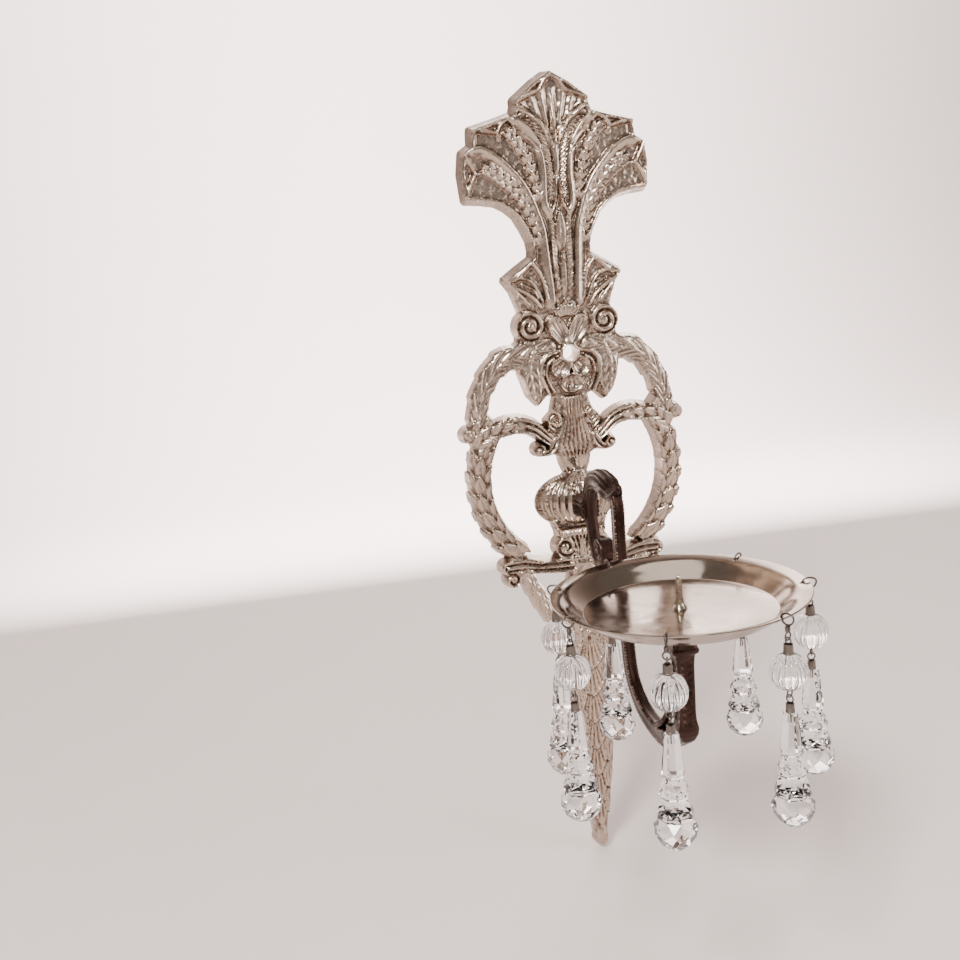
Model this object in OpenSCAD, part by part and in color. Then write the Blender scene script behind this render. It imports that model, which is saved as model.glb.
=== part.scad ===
// Wall sconce candle holder: cast openwork backplate, scrolled arm, pricket tray and seven glass drops.
// The origin is the hanging hole's centre on the back face. The wall is the plane y = 0, and the front is -y.

/* [Backplate] */
// Depth of the casting from the wall to its face
plate_t = 9; // [7:0.5:9.5]
// How far the raised ornament stands in front of that face
relief = 3; // [1:0.5:3.5]
// Radius of the hanging hole
hole_r = 4.5; // [3.5:0.25:5]
// Outer radius of the leafy ring
ring_r = 81; // [80:0.5:82]
// Width of the leafy ring's band
ring_w = 19; // [17:0.5:20]
// Height of the gadrooned ball's centre
ball_z = -108; // [-109:0.5:-107]

/* [Arm] */
// Distance from the wall to the tray's axis
reach = 191; // [189:1:193]
// Width of the beaded bar
bar_w = 7.5; // [6:0.5:8]
// Width of the scroll's crest
crest_w = 11; // [9:0.5:12]

/* [Tray] */
// Radius of the tray's rim
tray_r = 75; // [73:0.5:77]
// Height of the rim's top face
rim_z = -123.5; // [-125:0.5:-122]
// Depth from the rim's top face to the floor
tray_depth = 11; // [9:0.5:12]
// Thickness of the tray's metal
tray_t = 1.4; // [1.2:0.1:1.6]
// Radius of the flat floor
floor_r = 56.5; // [55:0.5:58]
// Height of the pricket above the floor
spike_h = 20; // [16:1:30]

/* [Drops] */
// Diameter of the hook's wire
hook_wire = 1.1; // [0.9:0.1:1.2]
// Diameter of the wire in the pins
pin_wire = 0.9; // [0.8:0.1:1]
// Diameter of the melon bead
bead_d = 20.6; // [18:0.2:21]
// Number of lobes round the melon bead
bead_lobes = 14; // [13:1:16]
// Greatest radius of the pendant's ball
pendant_r = 12; // [10:0.5:12]
// Number of facets round the pendant
facets = 8; // [6:1:10]

/* [Hidden] */
$fn = 40;

face = plate_t + relief;
pewter = "lightgray";
bronze = "saddlebrown";
steel = "gray";
glass = "lightcyan";

// Right half of each flat outline in the plate's plane, as [x, z].
palmette_half = [
    [0, 191], [12, 184], [26.5, 173], [26.5, 168.5], [28, 164], [42, 160], [58, 156], [58.5, 145],
    [65, 141], [67, 127], [65.5, 108.5], [54, 107.5], [44, 105.5], [37, 101.5], [31, 96], [26, 87],
    [22.5, 79], [21.5, 72], [22, 67.5], [43.5, 54], [38, 46], [33, 30], [0, 30]
];
heart_half = [
    [0, 34], [33, 34], [37, 10], [37, -12], [32, -28], [24.7, -36.5], [17, -29], [12.5, -31],
    [15.5, -42], [21, -47], [19, -60], [18, -71], [12, -74], [11, -80], [8.2, -87], [12, -94], [0, -94]
];
urn_half = [[0, -120], [22, -120], [18, -131], [17, -138], [20, -146], [16, -160], [0, -160]];
bud_half = [[0, -184], [11.5, -184], [12, -168], [10, -160], [5, -155], [0, -153]];
collar_half = [[0, -214], [22.5, -214], [22.5, -204], [16, -189], [12, -184], [6, -186], [0, -190]];

// Centre lines and widths of the leafy arms, as [x, z, width].
upper_arm = [[30, 2, 18], [48, -2, 19], [59, -12, 17], [66.5, -26, 16], [69.5, -40, 15], [72, -52, 13]];
inner_band = [[70, -56, 12], [58, -50, 13], [43, -47.5, 14], [31, -50.5, 12], [22, -58, 10], [16, -64, 8]];
curl_stem = [[14, -62, 8], [19, -69, 7], [26, -71, 4]];
cross_band = [[57, -151, 12], [45, -151, 13], [32, -153.5, 11], [15, -154.5, 13], [0, -155, 13]];
lower_arm = [[16, -203, 19], [27.5, -189.5, 15], [33.5, -180, 13.5], [38.5, -170, 13], [45, -158, 13]];

// Centre height of the leafy ring.
ring_z = -88;

// Tail: half width at the top and at the last row, and the rows of fan scales.
tail_top = -207;
tail_end = -384.5;
scale_rows = 7;
scale_step = 21.5;
scale_first = -238;

// Arm: centre line of each stretch in the plane x = 0, as [y, z, thickness].
scroll_line = [
    [-62, -136, 7], [-60, -142, 8], [-50, -145, 9], [-42, -138, 9], [-36, -124, 9],
    [-33, -108, 10], [-37, -93, 12], [-48, -83, 14], [-64, -80, 15], [-80, -84, 14], [-92, -88, 13]
];
bar_line = [
    [-84, -88, 10], [-87, -100, 9], [-90, -125, 9], [-93, -160, 9], [-96, -190, 9.5], [-101, -210, 10],
    [-115, -223, 11], [-135, -229, 12], [-158, -229, 13], [-178, -222, 14], [-191, -215, 13]
];
stem_y = -33;
riser_top = rim_z - tray_depth - tray_t - 1;
riser_foot = -222;
// Radius of the arm's socket, and the flat seat on the ball for it.
socket_r = 6.5;
seat_y = -17;
seat_r = 8;
// Screw that holds the arm from behind: shank, clearance hole, recess for the head and the recess's floor.
screw_r = 1.6;
screw_hole_r = 2.6;
recess_r = 6.2;
recess_y = -7.1;
// Bore for the screw in the arm, and for the pricket's stud in the riser.
stud_bore_r = 1.7;
stud_r = 1.6;
stud_len = 14;
// Small boss in the tray's middle that lifts the pricket's foot off the floor.
boss_r = 4.4;
boss_h = 0.6;

// Each drop: the angle of its rim hole and the direction in which its ring lies. The drop at the back
// hangs beside the arm, so its ring lies square to the wall.
drops = [
    [105, 90], [38, 38], [-14, -14], [-64, -64], [-118, -118], [-166, -166], [148, 148]
];
hole_in = 4;
rim_mid = rim_z - tray_t / 2;
ring_a = 4;
wraps = 3;
wrap_pitch = 1.3;
shank_len = wraps * wrap_pitch;
eye_a = 2.2;
eye_d = -(ring_a + shank_len + eye_a);
pin_eye_a = 1.7;
pin_top_d = eye_d - eye_a + (hook_wire + pin_wire) / 2 + 0.3 - pin_eye_a;
ferrule_top = pin_top_d - pin_eye_a - 0.4;
ferrule_len = 5.4;
bead_top = ferrule_top - ferrule_len;
bead_h = 0.96 * bead_d;
low_eye_a = 2.1;
low_eye_d = bead_top - bead_h - 0.6 - low_eye_a;
pivot_d = low_eye_d - low_eye_a;
cap_eye_a = 2.1;
cap_eye_d = pivot_d + pin_wire + 0.3 - cap_eye_a;
cap_top = cap_eye_d - cap_eye_a - 0.5;
cap_len = 5;
pendant_top = cap_top - cap_len;
pendant_bore = 6;

// Pendant profile from its top end down, as [radius share of pendant_r, distance].
pendant_profile = [
    [0.30, 0], [0.34, 1], [0.54, 22.5], [0.46, 25], [0.70, 34.5], [0.60, 37], [0.84, 46.5], [0.78, 49],
    [1, 54], [1, 56.5], [0.86, 61], [0.52, 65], [0.20, 66]
];
pendant_len = 66;

function flip(pts) = [for (i = [len(pts) - 1 : -1 : 0]) [-pts[i][0], pts[i][1]]];
function both(pts) = concat(pts, flip(pts));
function blend(a, b, c, d, t) =
    0.5 * (2 * b + (c - a) * t + (2 * a - 5 * b + 4 * c - d) * t * t + (3 * b - a - 3 * c + d) * t * t * t);
function smooth(p, n = 5) = [
    for (i = [0 : len(p) - 2])
        for (k = [0 : n - 1])
            blend(p[max(i - 1, 0)], p[i], p[i + 1], p[min(i + 2, len(p) - 1)], k / n),
    p[len(p) - 1]
];
function turn(p, i) =
    let (a = p[max(i - 1, 0)], b = p[min(i + 1, len(p) - 1)], l = norm([b[0] - a[0], b[1] - a[1]]))
    [(a[1] - b[1]) / l, (b[0] - a[0]) / l];
function side(p, s) = [
    for (i = [0 : len(p) - 1])
        [p[i][0] + s * turn(p, i)[0] * p[i][2] / 2, p[i][1] + s * turn(p, i)[1] * p[i][2] / 2]
];
function reversed(p) = [for (i = [len(p) - 1 : -1 : 0]) p[i]];
function ribbon(p) = concat(side(p, 1), reversed(side(p, -1)));
function tail_w(z) = 25 - 17.5 * (tail_top - z) / (tail_top - tail_end);
function fan(w, h) = [for (s = [-1 : 0.2 : 1]) [w * s, -h * pow(1 - abs(s), 0.6)]];

module slab(depth) {
    rotate([90, 0, 0]) linear_extrude(depth) children();
}

module in_plane(width) {
    rotate([90, 0, 90]) linear_extrude(width, center = true) children();
}

module ring(mean_r, wire) {
    rotate_extrude() translate([mean_r, 0]) circle(wire / 2, $fn = 20);
}

module at(x, z) {
    translate([x, z]) children();
}

module band(line) {
    polygon(ribbon(smooth(line, 3)));
}

module rib(line, w = 3) {
    polygon(ribbon(smooth([for (p = line) [p[0], p[1], w]], 3)));
}

module ring_band(outer, inner) {
    at(0, ring_z) intersection() {
        difference() {
            circle(outer, $fn = 96);
            circle(inner, $fn = 96);
        }
        polygon(both([[0, -2], [110, 60], [110, -120], [96, -124], [0, -4]]));
    }
}

// The whole casting's outline, apart from the tail's scales.
module base_outline() {
    polygon(both(palmette_half));
    polygon(both(heart_half));
    polygon(both(urn_half));
    polygon(both(bud_half));
    polygon(both(collar_half));
    ring_band(ring_r - 1.2, ring_r - ring_w + 1.2);
    pair2d() {
        at(27.3, 20.7) circle(11.2);
        at(26.5, -67.3) circle(5.2);
        at(77.3, -50.8) circle(6.1);
        at(12.8, -141) circle(8.9);
        at(54.2, -160.5) circle(6.2);
        band(upper_arm);
        band(inner_band);
        band(curl_stem);
        band(cross_band);
        band(lower_arm);
        // Leaf tips that break the ring's outer and inner edges.
        for (a = [-46 : 11 : 26]) at(0, ring_z) rotate(a) at(ring_r - ring_w / 2, 0)
            polygon([[0, -7], [ring_w / 2 + 1, 4.6], [0, 9], [-ring_w / 2 - 0.8, 4.3]]);
    }
}

// Raised work on the palmette: the lobes' rims, which run together in the stem.
module palmette_ribs() {
    pair2d() {
        band([[9.5, 34.5, 2], [13.7, 75, 2], [17.2, 105, 2.4], [26, 140, 2.6], [41, 156, 2]]);
        band([[15.3, 34.5, 2], [19, 75, 2.4], [28, 108, 3], [45, 133, 3], [60, 141, 2]]);
        band([[4.6, 60, 2], [6.2, 100, 2], [11, 132, 2.4], [25, 160, 2.4]]);
        band([[2.5, 167, 2], [12, 177.5, 2], [23.5, 172.5, 2]]);
        polygon([[60.3, 112.5], [64, 124], [60.7, 136], [57.2, 124]]);
        band([[25, 44, 3], [31, 54, 3], [39, 53, 2]]);
    }
    polygon(both([[0, 178], [3.1, 150], [1.7, 60], [0, 43]]));
}

// Raised work round the hanging hole and down the neck.
module heart_ribs() {
    pair2d() {
        at(27.3, 20.7) coil(9.8);
        at(26.5, -67.3) circle(3.6);
        at(77.3, -50.8) circle(4.2);
        rib(upper_arm);
        rib(inner_band);
        polygon([[3.5, 9], [13, 24], [16, 14], [9, 6.5]]);
        rib([[21, -7, 0], [22, -18, 0], [24, -31, 0]]);
        for (a = [1 : 3]) rib([[a * 1.6, -40, 0], [a * 3.1, -60, 0], [a * 3.4, -72, 0]], 1.7);
    }
    for (a = [-50, 0, 50]) rotate(a) at(0, -14.6) circle(6.4);
    circle(7.3);
    rib([[0, -40, 0], [0, -60, 0], [0, -84, 0]], 1.7);
}

module lower_ribs() {
    pair2d() {
        at(12.8, -141) coil(7.7);
        at(54.2, -160.5) circle(4.4);
        rib(cross_band);
        rib(lower_arm);
        rib([[5, -208, 0], [13, -205, 0], [15.5, -196, 0], [10, -189, 0]]);
    }
    polygon(both([[0, -163], [4, -165], [7.5, -178], [0, -180]]));
}

module leaf_ribs() {
    ring_band(ring_r - ring_w / 2 + 1.2, ring_r - ring_w / 2 - 1.2);
    pair2d() for (a = [-43.5 : 11 : 25]) at(0, ring_z) rotate(a) at(ring_r - ring_w / 2, 0)
        polygon([[0, -5], [7.6, 2.4], [6.2, 6.8], [0, 2], [-6.2, 6.4], [-7.2, 2.2]]);
}

// A volute's coil: a raised rim and an eye.
module coil(r) {
    difference() {
        circle(r);
        circle(r - 2.2);
    }
    circle(r * 0.36);
}

module pair2d() {
    children();
    mirror([1, 0]) children();
}

module ball() {
    axis_y = 19.4;
    bulge = [for (t = [-1 : 0.2 : 1]) [axis_y + 16.8 * sqrt(1 - t * t), 19.5 * t]];
    intersection() {
        translate([0, axis_y, ball_z]) {
            rotate_extrude() polygon(concat([[0, -19.5]], bulge, [[0, 19.5]]));
            for (a = [-54 : 9 : 54])
                rotate([90, 0, a - 90]) linear_extrude(2.6, center = true)
                    polygon(concat([[18, -18.3]], [for (p = bulge) [p[0] + 0.6, p[1] * 0.94]], [[18, 18.3]]));
        }
        translate([-30.9, -22, ball_z - 22]) cube([61.8, 21.9, 44]);
    }
}

// One row of fan scales: the side pair, half a row higher, and the centre one.
module scale_row(tip, w) {
    for (s = [-1, 1])
        translate([s * w * 0.62, 0, tip + 11]) rotate([3, 0, 0])
            translate([0, -3, 13]) slab(face - 4.3) polygon(concat(fan(w * 0.38, 13), [[0, 4]]));
    translate([0, -3, tip + 13.4]) rotate([3, 0, 0])
        slab(face - 4) polygon(concat(fan(w * 0.61, 13.4), [[0, 9]]));
}

module tail() {
    slab(plate_t - 1) polygon(both([
        [0, tail_top + 2], [22, tail_top + 2], [21, -250], [14.5, -315], [7, -360], [5.5, tail_end + 4], [0, tail_end]
    ]));
    translate([0, 0, tail_end + 12.1]) slab(face - 1.6) circle(5.4);
    for (k = [0 : scale_rows - 1]) scale_row(scale_first - k * scale_step, tail_w(scale_first - k * scale_step));
}

module backplate() {
    color(pewter) difference() {
        union() {
            slab(plate_t) base_outline();
            translate([0, -3, 0]) slab(face - 3) {
                palmette_ribs();
                heart_ribs();
                lower_ribs();
            }
            translate([0, -3, 0]) slab(face - 3.7) leaf_ribs();
            // Beaded collar between the ball and the urn.
            translate([-18.5, -face - 0.8, -133]) cube([37, face - 1, 5.6]);
            ball();
            tail();
        }
        rotate([90, 0, 0]) cylinder(h = 60, r = hole_r, center = true);
        // One stepped bore: the screw's recess from behind, its clearance hole and the flat seat in front.
        translate([0, 0, ball_z]) rotate([90, 0, 0]) rotate_extrude() polygon([
            [0, -1], [recess_r, -1], [recess_r, -recess_y], [screw_hole_r, -recess_y], [screw_hole_r, -seat_y],
            [seat_r, -seat_y], [seat_r, -seat_y + 5], [0, -seat_y + 5]
        ]);
    }
}

// Leaf-faced riser: a square post that widens into a collar under the tray.
module riser() {
    translate([0, -reach, 0]) {
        translate([0, 0, riser_top - 4]) cylinder(h = 4, r = 7.6);
        translate([0, 0, riser_top - 16]) cylinder(h = 12, r1 = 4.6, r2 = 7.6);
        translate([0, 0, riser_foot]) linear_extrude(riser_top - 4 - riser_foot) square([8.5, 8.5], center = true);
        translate([0, 0, riser_top - 21]) linear_extrude(4) square([11, 11], center = true);
        translate([0, 0, riser_foot + 2]) linear_extrude(7) square([10.5, 11], center = true);
    }
}

module arm() {
    color(bronze) difference() {
        union() {
            // Fluted socket against the ball, with four flutes on each side.
            translate([0, seat_y, ball_z]) rotate([90, 0, 0]) cylinder(h = seat_y - stem_y + 1, r = socket_r);
            for (k = [0 : 3])
                translate([-7.5, stem_y, ball_z - 6.6 + 3.6 * k]) cube([15, 14.5, 2.4]);
            in_plane(bar_w) polygon(ribbon(smooth(scroll_line)));
            in_plane(crest_w) polygon(ribbon(smooth([for (i = [6 : 10]) scroll_line[i] - [0, 0, 1.5]])));
            in_plane(bar_w - 1) polygon(ribbon(smooth(bar_line)));
            // Volute at the scroll's lower end, and the flared beak.
            translate([0, -60, -133]) rotate([0, 90, 0]) cylinder(h = crest_w, r = 7.2, center = true);
            in_plane(crest_w + 1) polygon([[-88, -82], [-101, -78], [-103, -82], [-99, -96], [-88, -95]]);
            // Small leaf that curls up in the crook of the lower bend.
            in_plane(bar_w) polygon(ribbon(smooth([[-150, -224, 8], [-160, -216, 6], [-163, -208, 3]])));
            riser();
        }
        translate([0, 0, ball_z]) rotate([90, 0, 0]) cylinder(h = 27, r = stud_bore_r);
        translate([0, -reach, riser_top - stud_len]) cylinder(h = 20, r = stud_bore_r);
    }
}

module arm_washer() {
    color(steel) translate([0, -7, ball_z]) rotate([-90, 0, 0]) difference() {
        cylinder(h = 1, r = 5.6);
        translate([0, 0, -1]) cylinder(h = 3, r = 2.2);
    }
}

module arm_screw() {
    color(steel) translate([0, -6, ball_z]) rotate([90, 0, 0]) {
        cylinder(h = 20, r = screw_r);
        translate([0, 0, -2.6]) difference() {
            cylinder(h = 2.6, r = 3.8);
            translate([-4, -0.5, -0.1]) cube([8, 1, 1.3]);
        }
    }
}

module tray() {
    wall = [[floor_r, -tray_depth], [floor_r + 5, -tray_depth + 2.5], [floor_r + 9, -tray_depth + 7], [tray_r - 6.5, -1.2]];
    boss = [[0, -tray_depth + boss_h], [boss_r, -tray_depth + boss_h], [boss_r, -tray_depth]];
    top = concat(boss, smooth([for (p = wall) [p[0], p[1], 0]]), [[tray_r, 0]]);
    upper = [for (p = top) [p[0], p[1]]];
    under = [for (i = [len(upper) - 1 : -1 : 3]) [upper[i][0], upper[i][1] - tray_t]];
    color("darkkhaki") translate([0, -reach, rim_z]) difference() {
        rotate_extrude($fn = 128) polygon(concat(upper, under, [[0, -tray_depth - tray_t]]));
        translate([0, 0, -tray_depth - 3]) cylinder(h = 6, r = 2.3);
        for (d = drops)
            rotate([0, 0, d[0]]) translate([tray_r - hole_in, 0, -3]) cylinder(h = 5, r = 1.6);
    }
}

module tray_washer() {
    color(steel) translate([0, -reach, riser_top]) difference() {
        cylinder(h = 1, r = 7);
        translate([0, 0, -1]) cylinder(h = 3, r = 2.3);
    }
}

module pricket() {
    floor_z = rim_z - tray_depth + boss_h;
    color("gold") translate([0, -reach, floor_z]) {
        rotate_extrude() polygon([
            [0, 0], [3.8, 0], [3.8, 0.9], [3, 2], [2.4, 4.5], [2, 9], [1.6, spike_h - 2], [1.2, spike_h - 0.6],
            [0, spike_h]
        ]);
        translate([0, 0, -stud_len]) cylinder(h = stud_len, r = stud_r);
    }
}

// Places one drop's piece: the origin is the ring's centre and +x is the ring's own direction.
module at_drop(i) {
    d = drops[i - 1];
    translate([0, -reach, rim_mid]) rotate([0, 0, d[0]]) translate([tray_r - hole_in, 0, 0])
        rotate([0, 0, d[1] - d[0]]) translate([ring_a, 0, 0]) children();
}

module hook(i) {
    color(steel) at_drop(i) {
        rotate([90, 0, 0]) ring(ring_a, hook_wire);
        // Twisted shank: the wire's end is wrapped round it.
        translate([0, 0, -ring_a]) rotate_extrude() polygon(concat(
            [[0, 0], [0.7, 0]],
            [for (k = [0 : wraps - 1]) each [
                [0.8, -0.3 - wrap_pitch * k], [1.5, -0.5 - wrap_pitch * k], [1.5, -1.2 - wrap_pitch * k]
            ]],
            [[0.7, -shank_len - 0.2], [0, -shank_len - 0.2]]
        ));
        translate([0, 0, eye_d]) rotate([90, 0, 90]) ring(eye_a, hook_wire - 0.1);
    }
}

module eyepin(i) {
    color(steel) at_drop(i) {
        translate([0, 0, pin_top_d]) rotate([90, 0, 0]) ring(pin_eye_a, pin_wire);
        translate([0, 0, low_eye_d + low_eye_a]) cylinder(h = pin_top_d - pin_eye_a - low_eye_d - low_eye_a, r = pin_wire / 2);
        translate([0, 0, low_eye_d]) rotate([90, 0, 90]) ring(low_eye_a, pin_wire);
    }
}

module ferrule(i) {
    color("dimgray") at_drop(i) translate([0, 0, ferrule_top - ferrule_len]) difference() {
        cylinder(h = ferrule_len, r1 = 2.9, r2 = 2.6);
        translate([0, 0, -1]) cylinder(h = ferrule_len + 2, r = 0.8);
    }
}

module bead(i) {
    color(glass) at_drop(i) translate([0, 0, bead_top - bead_h / 2]) difference() {
        rotate_extrude($fn = bead_lobes) polygon([
            for (a = [-72 : 16 : 72]) [bead_d / 2 * pow(cos(a), 0.8), bead_h / 2 * sin(a) / sin(72)]
        ]);
        cylinder(h = bead_h + 2, r = 0.8, center = true);
    }
}

// Wire that hangs from the bead's lower eye, runs through the cap and is glued into the pendant's bore.
module cap_pin(i) {
    color(steel) at_drop(i) {
        translate([0, 0, cap_eye_d]) rotate([90, 0, 0]) ring(cap_eye_a, pin_wire);
        translate([0, 0, pendant_top - pendant_bore + 0.4])
            cylinder(h = cap_eye_d - cap_eye_a - pendant_top + pendant_bore - 0.4, r = pin_wire / 2);
    }
}

module cap(i) {
    color("dimgray") at_drop(i) translate([0, 0, cap_top - cap_len]) difference() {
        cylinder(h = cap_len, r1 = 2.6, r2 = 2.2);
        translate([0, 0, -1]) cylinder(h = cap_len + 2, r = 0.8);
    }
}

module pendant(i) {
    color(glass) at_drop(i) translate([0, 0, pendant_top]) difference() {
        rotate([0, 0, 180 / facets]) rotate_extrude($fn = facets) polygon(concat(
            [[0, 0]], [for (p = pendant_profile) [p[0] * pendant_r, -p[1]]], [[0, -pendant_len]]
        ));
        translate([0, 0, -pendant_bore]) cylinder(h = pendant_bore + 1, r = 0.8);
    }
}

backplate();
arm();
arm_screw();
arm_washer();
tray();
tray_washer();
pricket();
hook(1);  // hook_1
eyepin(1);  // eyepin_1
ferrule(1);  // ferrule_1
bead(1);  // bead_1
cap_pin(1);  // cap_pin_1
cap(1);  // cap_1
pendant(1);  // pendant_1
hook(2);  // hook_2
eyepin(2);  // eyepin_2
ferrule(2);  // ferrule_2
bead(2);  // bead_2
cap_pin(2);  // cap_pin_2
cap(2);  // cap_2
pendant(2);  // pendant_2
hook(3);  // hook_3
eyepin(3);  // eyepin_3
ferrule(3);  // ferrule_3
bead(3);  // bead_3
cap_pin(3);  // cap_pin_3
cap(3);  // cap_3
pendant(3);  // pendant_3
hook(4);  // hook_4
eyepin(4);  // eyepin_4
ferrule(4);  // ferrule_4
bead(4);  // bead_4
cap_pin(4);  // cap_pin_4
cap(4);  // cap_4
pendant(4);  // pendant_4
hook(5);  // hook_5
eyepin(5);  // eyepin_5
ferrule(5);  // ferrule_5
bead(5);  // bead_5
cap_pin(5);  // cap_pin_5
cap(5);  // cap_5
pendant(5);  // pendant_5
hook(6);  // hook_6
eyepin(6);  // eyepin_6
ferrule(6);  // ferrule_6
bead(6);  // bead_6
cap_pin(6);  // cap_pin_6
cap(6);  // cap_6
pendant(6);  // pendant_6
hook(7);  // hook_7
eyepin(7);  // eyepin_7
ferrule(7);  // ferrule_7
bead(7);  // bead_7
cap_pin(7);  // cap_pin_7
cap(7);  // cap_7
pendant(7);  // pendant_7
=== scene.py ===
import math

import bmesh
import bpy
import numpy as np
from mathutils import Matrix, Vector
from mathutils.geometry import delaunay_2d_cdt


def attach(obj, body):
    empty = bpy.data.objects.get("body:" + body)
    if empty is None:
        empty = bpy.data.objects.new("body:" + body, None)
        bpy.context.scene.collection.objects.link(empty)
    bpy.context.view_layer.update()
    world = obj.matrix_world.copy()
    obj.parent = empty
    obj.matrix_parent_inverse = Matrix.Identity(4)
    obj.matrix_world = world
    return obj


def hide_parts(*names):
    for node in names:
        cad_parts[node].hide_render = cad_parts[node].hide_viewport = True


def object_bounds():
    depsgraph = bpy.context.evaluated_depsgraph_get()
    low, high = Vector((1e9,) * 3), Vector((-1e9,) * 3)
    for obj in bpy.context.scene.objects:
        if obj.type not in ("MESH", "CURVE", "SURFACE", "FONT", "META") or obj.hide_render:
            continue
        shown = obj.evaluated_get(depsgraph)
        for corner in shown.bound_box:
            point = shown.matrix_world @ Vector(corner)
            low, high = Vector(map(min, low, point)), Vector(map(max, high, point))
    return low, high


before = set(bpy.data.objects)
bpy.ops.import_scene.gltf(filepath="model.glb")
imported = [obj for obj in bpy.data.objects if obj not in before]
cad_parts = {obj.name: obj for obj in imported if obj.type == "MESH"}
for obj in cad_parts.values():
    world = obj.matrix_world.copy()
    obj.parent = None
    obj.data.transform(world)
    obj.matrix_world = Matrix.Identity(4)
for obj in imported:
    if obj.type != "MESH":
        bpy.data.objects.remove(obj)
cad_low, cad_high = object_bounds()

MM = 0.001

# ---- The plate's relief, in millimetres: a height above the wall over the plate's right half, with x to the
# right and z up. It is mirrored later.

STEP = 0.70            # spacing of the relief's grid
X_END, Z_LOW, Z_HIGH = 86.0, -387.0, 193.0
FIELD = 8.9            # height of the plain ground between the ornaments
TOP = 12.0             # height of the raised rims
ROUND = 1.7            # radius of the plate's front edge


def smooth(points, n=6):
    """A smooth line through the given points, with n steps between each pair."""
    p = np.array(points, float)
    ends = np.vstack([2 * p[0] - p[1], p, 2 * p[-1] - p[-2]])
    t = np.arange(n)[:, None] / n
    rows = []
    for a, b, c, d in zip(ends, ends[1:], ends[2:], ends[3:]):
        cubic = (3 * b - a - 3 * c + d) * t**3
        rows.append(0.5 * (2 * b + (c - a) * t + (2 * a - 5 * b + 4 * c - d) * t**2 + cubic))
    return np.vstack([*rows, p[-1:]])


def both(half):
    """A closed outline from its right half."""
    return half + [(-x, z) for x, z in reversed(half)]


def clip01(value):
    return np.clip(value, 0, 1)


def bulge(value):
    """1 in the middle, where the value is 0, and down to 0 where it is 1 or -1."""
    return clip01(1 - value**2)


def locate(line, x, z):
    """For each point: signed distance from the line, length along it, the line's half width there, and the
    line's whole length."""
    p = smooth(line)
    best = np.full(x.shape, np.inf)
    across, along, half = np.zeros(x.shape), np.zeros(x.shape), np.zeros(x.shape)
    start = 0.0
    for a, b in zip(p, p[1:]):
        ex, ez = b[0] - a[0], b[1] - a[1]
        length = math.hypot(ex, ez)
        t = clip01(((x - a[0]) * ex + (z - a[1]) * ez) / length**2)
        dx, dz = x - a[0] - t * ex, z - a[1] - t * ez
        d = dx * dx + dz * dz
        near = d < best
        best = np.where(near, d, best)
        across = np.where(near, np.sign(ex * dz - ez * dx) * np.sqrt(d), across)
        along = np.where(near, start + t * length, along)
        if len(a) > 2:
            half = np.where(near, (a[2] + (b[2] - a[2]) * t) / 2, half)
        start += length
    return across, along, half, start


def polygon_distance(points, x, z):
    """Signed distance to a closed polygon, negative inside."""
    inside = np.zeros(x.shape, bool)
    best = np.full(x.shape, np.inf)
    for (ax, az), (bx, bz) in zip(points, points[1:] + points[:1]):
        ex, ez = bx - ax, bz - az
        if ex == 0 and ez == 0:
            continue
        t = clip01(((x - ax) * ex + (z - az) * ez) / (ex * ex + ez * ez))
        best = np.minimum(best, (x - ax - t * ex) ** 2 + (z - az - t * ez) ** 2)
        if ez != 0:
            inside ^= ((az > z) != (bz > z)) & (x < ex * (z - az) / ez + ax)
    return np.where(inside, -1, 1) * np.sqrt(best)


def saw(t):
    """Rises from 0 to 1 and falls back sharply, once per unit."""
    f = t % 1
    return np.where(f < 0.82, f / 0.82, (1 - f) / 0.18)


def wave(turns):
    return np.cos(2 * np.pi * turns)


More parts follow.
